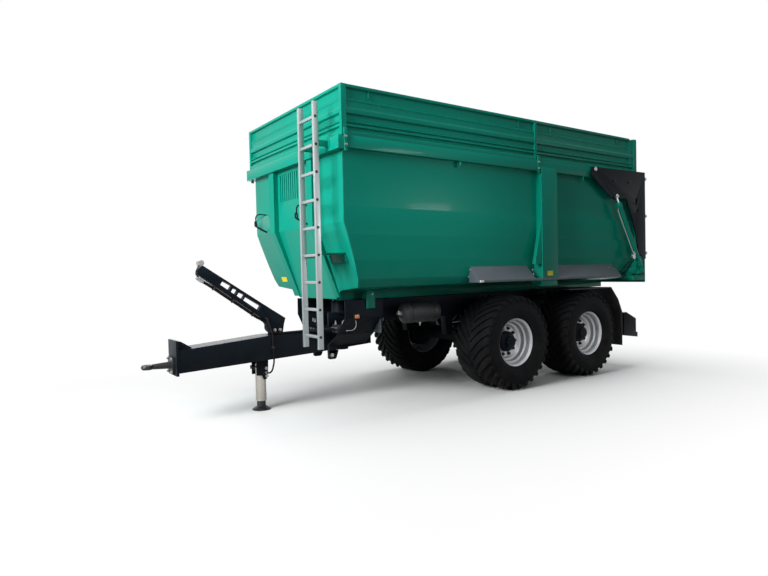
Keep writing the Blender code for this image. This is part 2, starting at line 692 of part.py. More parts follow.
def build_drawbar(root):
    head = BEAM_FRONT - HEAD_PLATE + 0.005
    outline = [(head, HEAD_TOP - 0.10), *BEAM_UPPER, (BEAM_REAR, 0.80), (BEAM_REAR, 0.636), *BEAM_LOWER, (head, HEAD_BOTTOM + 0.027)]
    beam = prism(outline, "Y", -BEAM_HALF_WIDTH, BEAM_HALF_WIDTH)
    plate = box((BEAM_FRONT - HEAD_PLATE, -BEAM_HALF_WIDTH - 0.005, HEAD_BOTTOM), (BEAM_FRONT, BEAM_HALF_WIDTH + 0.005, HEAD_TOP))
    gusset = prism(
        [
            (BEAM_FRONT - 0.02, HEAD_TOP - 0.012), (BEAM_FRONT - 0.02, HEAD_TOP - 0.14), (BEAM_FRONT - 0.17, HEAD_TOP - 0.13),
            (BEAM_FRONT - 0.17, HEAD_TOP - 0.083), (BEAM_FRONT - 0.06, HEAD_TOP - 0.012),
        ],
        "Y", -0.10, 0.10,
    )
    fork = box((FORK_REAR, -FORK_INNER, 0.4), (FORK_FRONT, FORK_INNER, 1.0))
    bolt = rod((CRADLE_FRONT - 0.05, BEAM_HALF_WIDTH - 0.01, 0.605), (CRADLE_FRONT - 0.05, CRADLE_LUG_INNER - FACE_GAP, 0.605), 0.03)
    piece("drawbar", "dark_paint", root, [beam, plate, gusset, *both(bolt)], [fork])

    start = BEAM_FRONT + FACE_GAP
    flange = box((start, -0.085, 0.52), (start + 0.025, 0.085, 0.69))
    shank = rod((start + 0.02, 0, EYE_Z), (EYE_X - EYE_RADIUS + 0.02, 0, EYE_Z), 0.038, 12, 0.026)
    ring = lathe(
        [
            (-EYE_THICK / 2, EYE_HOLE + 0.006), (0.0, EYE_HOLE), (EYE_THICK / 2, EYE_HOLE + 0.006),
            (EYE_THICK / 2, EYE_RADIUS - 0.012), (0.0, EYE_RADIUS), (-EYE_THICK / 2, EYE_RADIUS - 0.012),
        ],
        16, "Z", (EYE_X, 0, EYE_Z),
    )
    drill = rod((EYE_X, 0, EYE_Z - 0.1), (EYE_X, 0, EYE_Z + 0.1), EYE_HOLE, 16)
    piece("towing_eye", "black_plastic", root, [flange, shank, ring], [drill])

    foot = [(x, beam_top(x) + FACE_GAP) for x in ARM_FOOT]
    ahead, up = Vector((math.cos(ARM_RISE), math.sin(ARM_RISE))), Vector((-math.sin(ARM_RISE), math.cos(ARM_RISE)))
    start = Vector(ARM_START)

    def along_arm(run, rise):
        return tuple(start + ahead * run + up * rise)

    outline = [foot[0], foot[1], ARM_START, along_arm(ARM_LENGTH, 0.0), along_arm(ARM_LENGTH + 0.02, 0.04)]
    outline += [along_arm(ARM_LENGTH, ARM_TIP_DEPTH), along_arm(0.05, ARM_DEPTH), (ARM_FOOT[0] - 0.04, 1.01), (ARM_FOOT[0] - 0.02, 0.945)]
    arm = prism(outline, "Y", -ARM_HALF, ARM_HALF)
    windows = []
    for begin, end in ARM_WINDOWS:
        low, high = ARM_BAR, 0.105
        corners = [along_arm(begin, low), along_arm(end, low), along_arm(end, high - 0.012), along_arm(begin, high)]
        windows.append(prism(corners, "Y", -0.1, 0.1))
    piece("hose_arm", "dark_paint", root, [arm], windows)

    shapes = []
    for number in (-1, 0, 1):
        y = number * HOSE_PITCH
        low = 0.004 + HOSE_RADIUS
        beside = ARM_HALF + 0.018 + HOSE_RADIUS + (number + 1) * HOSE_PITCH
        corners = [
            (CYLINDER_X + 0.2205, 0.28 + number * 0.035, 0.866), (CYLINDER_X + 0.26, 0.28 + number * 0.035, 0.866),
            (3.0, 0.22 + number * 0.03, 0.866), (3.16, beside + 0.01, beam_top(3.16) + HOSE_RADIUS + 0.006),
            (3.3, beside, beam_top(3.3) + HOSE_RADIUS + 0.003),
            (3.46, beside - 0.004, beam_top(3.46) + HOSE_RADIUS + 0.002), (3.535, beside - 0.005, 0.862),
            (3.575, (beside + y) / 2, 0.90), (3.568, y, 0.965),
        ]
        for run in (0.15, 0.34, 0.62, 0.84):
            x, z = along_arm(run, -low - 0.006 * math.sin(run * 31) ** 2)
            corners.append((x, y, z))
        x, z = along_arm(ARM_LENGTH + 0.02, -low - 0.012)
        corners.append((x, y, z))
        shapes.append(hose([corners[0], *smooth_route(corners[1:], 2)], HOSE_RADIUS))
        shapes.append(hose(((x, y, z), tuple(Vector((x, y, z)) + Vector((ahead.x, 0, ahead.y)) * 0.045)), HOSE_RADIUS + 0.007, 8))
    for run in (0.19, 0.47, 0.76):
        corners = [along_arm(run, -FACE_GAP), along_arm(run + 0.02, -FACE_GAP), along_arm(run + 0.02, -0.024), along_arm(run, -0.024)]
        shapes.append(prism(corners, "Y", -HOSE_PITCH - 0.008, HOSE_PITCH + 0.008))
    piece("arm_hoses", "rubber", root, shapes)

    side = BEAM_HALF_WIDTH + 0.012
    corners = [
        (3.575, ARM_HALF + FACE_GAP, 1.02), (3.575, ARM_HALF + 0.03, 1.02), (3.57, 0.11, 0.95), (3.556, side + 0.006, 0.84),
        (3.55, side, 0.72), (3.545, side, 0.60), (3.548, side - 0.012, 0.50), (3.58, 0.118, 0.42), (3.612, 0.095, 0.41),
    ]
    line = hose([corners[0], *smooth_route(corners[1:], 2)], 0.009)
    clip = box((3.535, BEAM_HALF_WIDTH + FACE_GAP, 0.69), (3.565, side + 0.006, 0.715))
    elbow = rod((3.615, JACK_SIDE + JACK_PLATE + FACE_GAP, 0.42), (3.615, 0.1, 0.42), 0.014, 8)
    piece("jack_hose", "rubber", root, [line, clip, elbow])


def build_jack(root):
    low = JACK_SIDE
    side = prism(
        [(3.72, 0.565), (3.58, 0.5695), (3.583, 0.46), (3.60, 0.348), (3.635, 0.345), (3.658, 0.392), (3.718, 0.395)],
        "Y", low, low + JACK_PLATE,
    )
    web = box((3.583, -low - 0.005, 0.53), (3.597, low + 0.005, 0.563))
    top = box((3.585, -low - 0.005, 0.55), (3.716, low + 0.005, 0.5625))
    bore = rod((JACK_PIVOT_X, -0.2, JACK_PIVOT_Z), (JACK_PIVOT_X, 0.2, JACK_PIVOT_Z), 0.0125 + RUNNING_GAP)
    piece("jack_bracket", "dark_paint", root, [top, web, *both(side)], [bore])

    swing = joint_at("jack_swing", root, (JACK_PIVOT_X, 0, JACK_PIVOT_Z))
    tube = rod((JACK_X, 0, JACK_TUBE_BOTTOM), (JACK_X, 0, JACK_TUBE_TOP), JACK_TUBE_RADIUS, 16)
    ear = box((JACK_PIVOT_X - 0.022, -0.03, JACK_PIVOT_Z - 0.03), (JACK_X, 0.03, JACK_PIVOT_Z + 0.03))
    pin = rod(
        (JACK_PIVOT_X, -low - JACK_PLATE - 0.006, JACK_PIVOT_Z), (JACK_PIVOT_X, low + JACK_PLATE + 0.006, JACK_PIVOT_Z), 0.0125
    )
    bore = rod(
        (JACK_X, 0, JACK_TUBE_BOTTOM - 0.1), (JACK_X, 0, JACK_TUBE_BOTTOM + JACK_LEG_INSIDE + 0.01),
        JACK_LEG_RADIUS + RUNNING_GAP, 16,
    )
    piece("jack_tube", "galvanised", swing, [tube, ear, pin], [bore])

    slide = joint_at("jack_leg_slide", swing, (JACK_X, 0, JACK_TUBE_BOTTOM))
    leg = rod((JACK_X, 0, FOOT_HEIGHT / 2), (JACK_X, 0, JACK_TUBE_BOTTOM + JACK_LEG_INSIDE), JACK_LEG_RADIUS, 16)
    foot = lathe(
        [(0.0, 0.0), (0.0, FOOT_RADIUS), (0.012, FOOT_RADIUS), (FOOT_HEIGHT, JACK_LEG_RADIUS + 0.006), (FOOT_HEIGHT, 0.0)],
        16, "Z", (JACK_X, 0, 0),
    )
    piece("jack_leg", "black_plastic", slide, [leg, foot])


def build_tipping_cylinder(root):
    hinge = joint_at("tipping_cylinder_swing", root, (CYLINDER_X, 0, TRUNNION_Z))

    floor = BARREL_BOTTOM + 0.015

    def tube(radius, high):
        outline = [(floor + FACE_GAP, radius), (high, radius), (high, radius - STAGE_WALL), (floor + FACE_GAP, radius - STAGE_WALL)]
        return lathe(outline, 16, "Z", (CYLINDER_X, 0, 0))

    inside = BARREL_RADIUS - STAGE_WALL
    barrel = lathe(
        [
            (BARREL_BOTTOM, 0.0), (BARREL_BOTTOM, BARREL_RADIUS), (BARREL_TOP, BARREL_RADIUS), (BARREL_TOP, inside),
            (floor, inside), (floor, 0.0),
        ],
        16, "Z", (CYLINDER_X, 0, 0),
    )
    trunnion = rod((CYLINDER_X, BARREL_RADIUS - 0.01, TRUNNION_Z), (CYLINDER_X, 0.156, TRUNNION_Z), TRUNNION_RADIUS, 16)
    piece("tipping_barrel", "dark_paint", hinge, [barrel, *both(trunnion)])
    carrier = hinge
    for number in range(1, STAGE_COUNT + 1):
        carrier = joint_at("tipping_stage_slide_%d" % number, carrier, (CYLINDER_X, 0, TRUNNION_Z))
        radius = BARREL_RADIUS - STAGE_STEP * number
        high = BARREL_TOP + STAGE_RISE * number
        shapes, cuts = [tube(radius, high)], []
        if number == STAGE_COUNT:
            neck = box((CYLINDER_X - 0.024, -0.02, high - 0.003), (CYLINDER_X + 0.024, 0.02, TIP_EYE_Z))
            eye = rod((CYLINDER_X, -0.02, TIP_EYE_Z), (CYLINDER_X, 0.02, TIP_EYE_Z), 0.028)
            shapes = [rod((CYLINDER_X, 0, floor + FACE_GAP), (CYLINDER_X, 0, high), radius, 16), neck, eye]
            cuts = [rod((CYLINDER_X, -0.1, TIP_EYE_Z), (CYLINDER_X, 0.1, TIP_EYE_Z), 0.014)]
        piece("tipping_stage_%d" % number, "chrome", carrier, shapes, cuts)


def build_tub(tip):
    reach = FRONT_X + 0.1
    outer, inner = side_profile(0.0), side_profile(WALL)
    for side, name in ((1, "left"), (-1, "right")):
        shell = sloped_front(prism(outer + inner[::-1], "X", TUB_REAR, reach), WALL + FACE_GAP)
        rim = box((TUB_REAR, TUB_HALF - WALL, TUB_TOP - 0.01), (FRONT_X - WALL - FACE_GAP, RIM_OUT, TUB_TOP + RIM_HEIGHT))
        foot_x, foot_z = GATE_CYLINDER_FOOT
        frame_out, frame_in = TUB_HALF + 0.03, side_y(0.0) - 0.01
        frame = prism(
            [(TUB_HALF - 0.005, TUB_TOP + 0.01), (frame_out, TUB_TOP + 0.01), (frame_out, 1.30), (frame_in, 1.30), (frame_in, 1.35)]
            + side_profile(0.005)[::-1],
            "X", TUB_REAR, TUB_REAR + 0.09,
        )
        lug_out = GATE_CYLINDER_Y - GATE_EYE_HALF - FACE_GAP
        lug = box((foot_x - 0.04, side_y(foot_z) - 0.01, foot_z - 0.05), (foot_x + 0.04, lug_out, foot_z + 0.04))
        foot_block = box((TUB_REAR + 0.03, frame_in + 0.01, 1.305), (foot_x + 0.18, lug_out, 1.375))
        tie = prism(
            [(foot_x - 0.04, foot_z), (foot_x + 0.04, foot_z), (foot_x + 0.12, 1.36), (foot_x - 0.07, 1.36)],
            "Y", side_y(1.44) - 0.01, side_y(1.44) + 0.06,
        )
        hooks = []
        for x in ROPE_HOOK_XS:
            ring = lathe(
                [(-HOOK_WIRE / 2, HOOK_RADIUS), (HOOK_WIRE / 2, HOOK_RADIUS), (HOOK_WIRE / 2, HOOK_RADIUS - HOOK_WIRE), (-HOOK_WIRE / 2, HOOK_RADIUS - HOOK_WIRE)],
                10, "X", (x, TUB_HALF + HOOK_RADIUS, TUB_TOP - 0.01 - HOOK_RADIUS + HOOK_WIRE / 2),
            )
            hooks.append(ring)
        washer = rod((GATE_PIVOT_X, RIM_OUT - 0.005, GATE_PIVOT_Z), (GATE_PIVOT_X, ARM_INNER - FACE_GAP, GATE_PIVOT_Z), 0.04, 16)
        pin = rod((GATE_PIVOT_X, RIM_OUT - 0.004, GATE_PIVOT_Z), (GATE_PIVOT_X, ARM_OUT + 0.008, GATE_PIVOT_Z), PIVOT_PIN_RADIUS, 16)
        shapes = [shell, rim, frame, lug, tie, foot_block, *hooks, washer, pin]
        if side < 0:
            shapes = [mirrored(shape) for shape in shapes]
        piece("tub_side_" + name, "green_paint", tip, shapes)

    floor_edge = side_y(0.0) - WALL - FACE_GAP
    outline = [
        (-floor_edge, 1.3495), (-FLOOR_FLAT_HALF, FLOOR_Z), (FLOOR_FLAT_HALF, FLOOR_Z), (floor_edge, 1.3495),
        (floor_edge, 1.3495 + WALL), (FLOOR_FLAT_HALF, FLOOR_Z + WALL), (-FLOOR_FLAT_HALF, FLOOR_Z + WALL),
        (-floor_edge, 1.3495 + WALL),
    ]
    floor = sloped_front(prism(outline, "X", TUB_REAR, reach), WALL + FACE_GAP)
    piece("tub_floor", "green_paint", tip, [floor])

    low = RAIL_TOP + TUB_LIFT
    beam = box((TUB_REAR + 0.01, BEAM_Y - UNDER_BEAM_WIDTH / 2, low), (2.86, BEAM_Y + UNDER_BEAM_WIDTH / 2, FLOOR_Z - FACE_GAP))
    ties = [box((x - 0.04, -BEAM_Y, low + 0.02), (x + 0.04, BEAM_Y, FLOOR_Z - 0.01)) for x in (2.40, 1.5, 0.2, -1.0, TIP_X)]
    ear = prism(
        [(TIP_X - 0.06, low + 0.06), (TIP_X + 0.06, low + 0.06), (TIP_X + 0.05, TIP_Z - 0.05), (TIP_X - 0.05, TIP_Z - 0.05)],
        "Y", RAIL_Y - RAIL_WIDTH / 2 - 0.022, RAIL_Y - RAIL_WIDTH / 2 - 0.002,
    )
    eye_plate = prism(
        [(CYLINDER_X - 0.06, FLOOR_Z - 0.01), (CYLINDER_X + 0.06, FLOOR_Z - 0.01), (CYLINDER_X + 0.035, TIP_EYE_Z - 0.03), (CYLINDER_X - 0.035, TIP_EYE_Z - 0.03)],
        "Y", 0.0205, 0.035,
    )
    bridge = [
        box((x - 0.03, -BEAM_Y, FLOOR_Z - 0.04), (x + 0.03, BEAM_Y, FLOOR_Z - 0.001)) for x in (CYLINDER_X - 0.085, CYLINDER_X + 0.075)
    ]
    cap = box((CYLINDER_X - 0.06, -0.035, FLOOR_Z - 0.012), (CYLINDER_X + 0.06, 0.035, FLOOR_Z - 0.001))
    guide = box((2.48, 0.594, 1.10), (2.59, 0.606, FLOOR_Z - 0.001))
    guide_arm = box((2.48, BEAM_Y, FLOOR_Z - 0.035), (2.59, 0.60, FLOOR_Z - 0.001))
    bore = rod((TIP_X, -RAIL_Y, TIP_Z), (TIP_X, RAIL_Y, TIP_Z), TIP_PIN_RADIUS + RUNNING_GAP, 16)
    pin_hole = rod((CYLINDER_X, -0.2, TIP_EYE_Z), (CYLINDER_X, 0.2, TIP_EYE_Z), 0.014)
    piece("tub_underframe", "green_paint", tip, [*both(beam), *ties, *both(ear), *both(eye_plate), *bridge, cap, *both(guide), *both(guide_arm)], [bore, pin_hole])


def build_front_wall(tip):
    upper = [(y, z) for y, z in side_profile(0.0) if z > FRONT_FOLD_Z]
    fold = (side_y(FRONT_FOLD_Z), FRONT_FOLD_Z)
    lower = [(y, z) for y, z in side_profile(0.0) if z < FRONT_FOLD_Z]
    lower += [(0.60, 1.315), (APRON_HALF, APRON_Z)]
    bm = bmesh.new()
    rows = {}
    for sign in (1, -1):
        for y, z in upper + [fold] + lower:
            rows[sign, y, z] = bm.verts.new((front_x(z), sign * y, z))
    for group in (upper + [fold], [fold] + lower):
        ring = [rows[1, y, z] for y, z in group] + [rows[-1, y, z] for y, z in group[::-1]]
        bm.faces.new(ring)
    grown = bmesh.ops.extrude_face_region(bm, geom=bm.faces[:])["geom"]
    bmesh.ops.translate(bm, verts=[item for item in grown if isinstance(item, bmesh.types.BMVert)], vec=(-WALL, 0, 0))
    shapes = [facing_out(bm)]
    for low, high in ((-0.56, -0.42), (0.44, 0.55)):
        post = [
            (FRONT_X - 0.006, TUB_TOP + 0.03), (FRONT_X + 0.06, TUB_TOP + 0.03), (FRONT_X + 0.06, FRONT_FOLD_Z - 0.01),
            (front_x(1.235) + 0.015, 1.235), (front_x(1.235) - 0.006, 1.235), (FRONT_X - 0.006, FRONT_FOLD_Z),
        ]
        shapes.append(prism(post, "Y", low, high))
    shapes.append(
        box((FRONT_X - WALL, -RIM_OUT, CROSSBEAM_BOTTOM), (FRONT_X + CROSSBEAM_DEPTH, RIM_OUT, TUB_TOP + RIM_HEIGHT - 0.008))
    )
    for wall_y, bar_y in HANDLES:
        out = FRONT_X + HANDLE_REACH
        bends = ((FRONT_X - 0.005, wall_y, 2.27), (out, bar_y, 2.28), (out, bar_y, 2.15), (FRONT_X - 0.005, wall_y, 2.05))
        shapes.append(hose(bends, HANDLE_RADIUS, 6))
    slots = []
    for number in range(WINDOW_SLOTS):
        y = WINDOW_FIRST_Y + number * WINDOW_PITCH
        slots.append(box((FRONT_X - 0.05, y, WINDOW_LOW), (FRONT_X + 0.05, y + WINDOW_SLOT, WINDOW_HIGH)))
    piece("tub_front", "green_paint", tip, shapes, slots)


def board_profile():
    """The outer side of the extension's boards, from the foot up: (depth in from the outer face, height)."""
    dip = EXT_RIB
    rows = [(0.0, 0.0), (0.0, 0.048), (dip, 0.066), (dip, 0.086), (0.0, 0.090), (0.0, 0.108), (dip * 0.7, 0.114)]
    rows += [(dip * 0.7, 0.127), (0.0, 0.132), (0.0, 0.138), (dip, 0.158), (dip, 0.214), (0.0, 0.221), (0.0, 0.263)]
    rows += [(dip * 0.4, 0.283), (dip * 0.4, 0.343), (dip * 0.2, 0.347), (dip * 0.2, 0.356), (dip, 0.381), (dip, 0.472)]
    rows.append((0.0, 0.477))
    return rows


def board(length_axis, start, end, outer, sign):
    """A ribbed board between two places, its outer face looking along the sign."""
    foot = TUB_TOP + RIM_HEIGHT + FACE_GAP
    outline = [(sign * (outer - depth), foot + z) for depth, z in board_profile()]
    back = sign * (outer - EXT_RIB - EXT_WALL)
    outline += [(sign * outer, EXT_TOP), (back, EXT_TOP), (back, foot)]
    return prism(outline, length_axis, start, end)


def build_extension(tip):
    foot = TUB_TOP + RIM_HEIGHT + FACE_GAP
    depth = EXT_RIB + EXT_WALL
    for side, name in ((1, "left"), (-1, "right")):
        shapes = [board("X", EXT_REAR + 0.02, EXT_FRONT - 0.02, EXT_OUT, side)]
        for x, wide in ((EXT_FRONT - EXT_POST, EXT_POST), (EXT_MID_X, EXT_MID_POST), (EXT_REAR, EXT_END_POST)):
            low, high = sorted((side * (EXT_OUT - depth), side * (EXT_OUT + 0.004)))
            shapes.append(box((x, low, foot), (x + wide, high, EXT_TOP)))
        for x in (EXT_FRONT - 0.055, EXT_MID_X - 0.037):
            low, high = sorted((side * (RIM_OUT + FACE_GAP), side * (RIM_OUT + EXT_BRACKET)))
            shapes.append(box((x, low, foot - 0.16), (x + EXT_BRACKET_WIDTH, high, foot + 0.07)))
            low, high = sorted((side * (EXT_OUT - 0.005), side * (RIM_OUT + EXT_BRACKET)))
            shapes.append(box((x, low, foot + 0.002), (x + EXT_BRACKET_WIDTH, high, foot + 0.07)))
        plate_top = EXT_TOP - EXT_END_DROP
        low, high = sorted((side * (EXT_OUT - depth), side * (EXT_OUT - 0.008)))
        shapes.append(box((EXT_REAR + 0.05, low, foot + 0.10), (EXT_REAR + EXT_END_PLATE, high, plate_top - 0.001)))
        low, high = sorted((side * (EXT_OUT - depth - 0.01), side * (EXT_OUT + 0.01)))
        notch = box((EXT_REAR + EXT_END_POST, low, plate_top), (EXT_REAR + EXT_END_PLATE, high, EXT_TOP + 0.01))
        piece("extension_" + name, "green_paint", tip, shapes, [notch])
    inner = EXT_OUT - depth - FACE_GAP
    piece("extension_front", "green_paint", tip, [board("Y", -inner, inner, EXT_FRONT, 1)])
    piece("extension_rear", "green_paint", tip, [board("Y", -inner, inner, -EXT_REAR, -1)])


def build_side_fittings(tip):
    for side, name in ((1, "left"), (-1, "right")):
        inner = [(out + FACE_GAP, z) for out, z in side_profile(0.0) if z > POST_BOTTOM]
        foot = (side_y(POST_BOTTOM) + 2 * FACE_GAP, POST_BOTTOM)
        inner = [(inner[0][0], TUB_TOP - 0.01 - FACE_GAP)] + inner[1:] + [foot]
        outline = [(POST_OUT, POST_BOTTOM), (POST_OUT, TUB_TOP - 0.01 - FACE_GAP)] + inner
        post = prism(outline, "X", POST_REAR, POST_FRONT)
        cap_top, corner = TUB_TOP + POST_CAP, 0.05
        cap = prism(
            [(POST_REAR, TUB_TOP - 0.05), (POST_FRONT, TUB_TOP - 0.05)]
            + [
                (POST_FRONT - corner + corner * math.cos(turn), cap_top - corner + corner * math.sin(turn))
                for turn in (0.0, math.pi / 6, math.pi / 3, math.pi / 2)
            ]
            + [
                (POST_REAR + corner - corner * math.sin(turn), cap_top - corner + corner * math.cos(turn))
                for turn in (0.0, math.pi / 6, math.pi / 3, math.pi / 2)
            ],
            "Y", RIM_OUT + FACE_GAP, POST_OUT,
        )
        stub = box((POST_REAR, side_y(0.0) + 0.035, STUB_BOTTOM), (POST_FRONT, POST_OUT - STUB_INSET, POST_BOTTOM + 0.01))
        gusset = prism(
            [(POST_FRONT - 0.02, 2.1), (POST_FRONT + 0.005, 2.1), (POST_FRONT + 0.13, 1.57), (POST_FRONT - 0.02, 1.57)],
            "Y", TUB_HALF + 0.03, POST_OUT - 0.012,
        )
        shapes = [post, gusset, cap, stub]
        if side < 0:
            shapes = [mirrored(shape) for shape in shapes]
        piece("side_post_" + name, "green_paint", tip, shapes)

        top_y = side_y(SHELF_TOP) + 1.2 * FACE_GAP
        shelf = prism(
            [
                (top_y, SHELF_TOP), (SHELF_OUT, SHELF_LIP), (SHELF_OUT, SHELF_LIP - SHELF_FLANGE),
                (SHELF_OUT - SHELF_SHEET, SHELF_LIP - SHELF_FLANGE), (SHELF_OUT - SHELF_SHEET, SHELF_LIP - 0.007),
                (top_y, SHELF_TOP - 0.02),
            ],
            "X", SHELF_REAR, SHELF_FRONT,
        )
        end = prism(
            [
                (side_y(1.545) + 1.5 * FACE_GAP, 1.545), (SHELF_OUT - 0.001, SHELF_LIP - 0.002),
                (SHELF_OUT - 0.001, SHELF_LIP - SHELF_FLANGE + 0.001), (side_y(1.44) + 0.005, SHELF_LIP - SHELF_FLANGE + 0.001),
                (side_y(1.44) + 1.5 * FACE_GAP, 1.44),
            ],
            "X", SHELF_FRONT - 0.012, SHELF_FRONT,
        )
        notch = box((POST_REAR - 0.002, side_y(0.0), SHELF_LIP - 0.008), (POST_FRONT + 0.145, POST_OUT + 0.002, SHELF_TOP + 0.05))
        shapes, cuts = [shelf, end], [notch]
        if side < 0:
            shapes, cuts = [mirrored(shape) for shape in shapes], [mirrored(shape) for shape in cuts]
        piece("deflector_" + name, "dark_paint", tip, shapes, cuts)


def build_ladder(tip):
    depth, width = LADDER_RAIL
    shapes = [
        box((LADDER_X - depth / 2, y - width / 2, LADDER_BOTTOM), (LADDER_X + depth / 2, y + width / 2, LADDER_TOP))
        for y in (LADDER_INNER_Y, LADDER_OUTER_Y)
    ]
    for number in range(RUNG_COUNT):
        z = RUNG_FIRST + number * RUNG_PITCH
        shapes.append(box((LADDER_X - RUNG_SIZE / 2, LADDER_INNER_Y, z - RUNG_SIZE / 2), (LADDER_X + RUNG_SIZE / 2, LADDER_OUTER_Y, z + RUNG_SIZE / 2)))
    beam_face = FRONT_X + CROSSBEAM_DEPTH + FACE_GAP
    for y in (LADDER_INNER_Y, LADDER_OUTER_Y):
        shapes.append(
            box((beam_face, y - LADDER_ARM / 2, LADDER_ARM_LOW), (LADDER_X - depth / 2 + 0.01, y + LADDER_ARM / 2, LADDER_ARM_HIGH))
        )
    flange = LADDER_SHELF - LADDER_SHELF_DROP
    reach = LADDER_X - depth / 2 + 0.01
    bracket = prism(
        [
            (front_x(LADDER_SHELF) + 0.002, LADDER_SHELF), (reach, LADDER_SHELF), (reach, LADDER_SHELF - 0.02),
            (front_x(LADDER_SHELF - 0.06) + 0.022, LADDER_SHELF - 0.02), (front_x(flange) + 0.012, flange), (front_x(flange) + 0.002, flange),
        ],
        "Y", LADDER_INNER_Y - LADDER_ARM / 2, LADDER_OUTER_Y + LADDER_ARM / 2,
    )
    piece("ladder", "aluminium", tip, [*shapes, bracket])


def build_tailgate(tip):
    hinge = joint_at("tailgate_hinge", tip, (GATE_PIVOT_X, 0, GATE_PIVOT_Z))
    rear = GATE_FACE - GATE_THICK
    inner = ARM_INNER - FACE_GAP
    shapes = [box((rear, -inner, GATE_BOTTOM), (GATE_FACE, inner, GATE_TOP))]
    for y in (-0.7, 0.0, 0.7):
        shapes.append(box((rear - GATE_RIB, y - 0.05, GATE_BOTTOM + 0.05), (rear + 0.01, y + 0.05, GATE_TOP - 0.05)))
    for z in (GATE_BOTTOM + 0.06, 2.1, GATE_TOP - 0.06):
        shapes.append(box((rear - GATE_RIB + 0.006, -inner + 0.05, z - 0.05), (rear + 0.01, inner - 0.05, z + 0.05)))
    for z in GATE_KNOB_ZS:
        stem = rod((rear + 0.01, GATE_KNOB_Y, z), (rear - HOOK_REACH + 0.02, GATE_KNOB_Y, z), 0.012, 8)
        head = rod((rear - HOOK_REACH + 0.03, GATE_KNOB_Y, z), (rear - HOOK_REACH, GATE_KNOB_Y, z), 0.022, 8)
        shapes.extend([*both(stem), *both(head)])
    claw = prism(
        [
            (rear + 0.01, 1.475), (rear - 0.055, 1.48), (rear - 0.085, 1.45), (rear - 0.085, 1.375), (rear - 0.062, 1.375),
            (rear - 0.06, 1.425), (rear - 0.045, 1.44), (rear + 0.01, 1.435),
        ],
        "Y", GATE_KNOB_Y - 0.045, GATE_KNOB_Y - 0.02,
    )
    shapes.extend(both(claw))
    piece("tailgate_panel", "green_paint", hinge, shapes)

    outline = [
        (GATE_PIVOT_X + 0.07, GATE_TOP - 0.015), (rear, GATE_TOP), (rear, GATE_ARM_FOOT), (TUB_REAR + 0.03, GATE_ARM_FOOT + 0.015),
        (TUB_REAR + 0.14, GATE_ARM_FOOT + 0.08), *GATE_ARM_EDGE, (GATE_PIVOT_X + 0.105, GATE_TOP - 0.125),
    ]
    eye_x, eye_z = GATE_CYLINDER_EYE
    for side, name in ((1, "left"), (-1, "right")):
        plate = prism(outline, "Y", ARM_INNER, ARM_OUT)
        boss = rod((eye_x, ARM_OUT - 0.01, eye_z), (eye_x, ARM_OUT + GATE_BOSS - FACE_GAP, eye_z), 0.03, 12)
        lug = rod((eye_x, ARM_INNER, eye_z), (eye_x, ARM_OUT, eye_z), 0.05, 12)
        low, high = ARM_INNER - 0.1, ARM_OUT + 0.1
        bore = rod((GATE_PIVOT_X, low, GATE_PIVOT_Z), (GATE_PIVOT_X, high, GATE_PIVOT_Z), PIVOT_PIN_RADIUS + RUNNING_GAP, 16)
        oval = lathe([(low, 0.0), (low, 0.024), (high, 0.024), (high, 0.0)], 12, "Y")
        bmesh.ops.scale(oval, vec=(1.0, 1.0, 2.1), verts=oval.verts)
        bmesh.ops.translate(oval, vec=(GATE_OVAL[0], 0, GATE_OVAL[1]), verts=oval.verts)
        small = rod((GATE_OVAL[0] - 0.025, low, GATE_OVAL[1] - 0.125), (GATE_OVAL[0] - 0.025, high, GATE_OVAL[1] - 0.125), 0.02, 8)
        slot = box((GATE_PIVOT_X + 0.045, low, GATE_PIVOT_Z - 0.045), (GATE_PIVOT_X + 0.06, high, GATE_PIVOT_Z + 0.005))
        shapes, cuts = [plate, boss, lug], [bore, oval, small, slot]
        if side < 0:
            shapes, cuts = [mirrored(shape) for shape in shapes], [mirrored(shape) for shape in cuts]
        piece("gate_arm_" + name, "dark_paint", hinge, shapes, cuts)


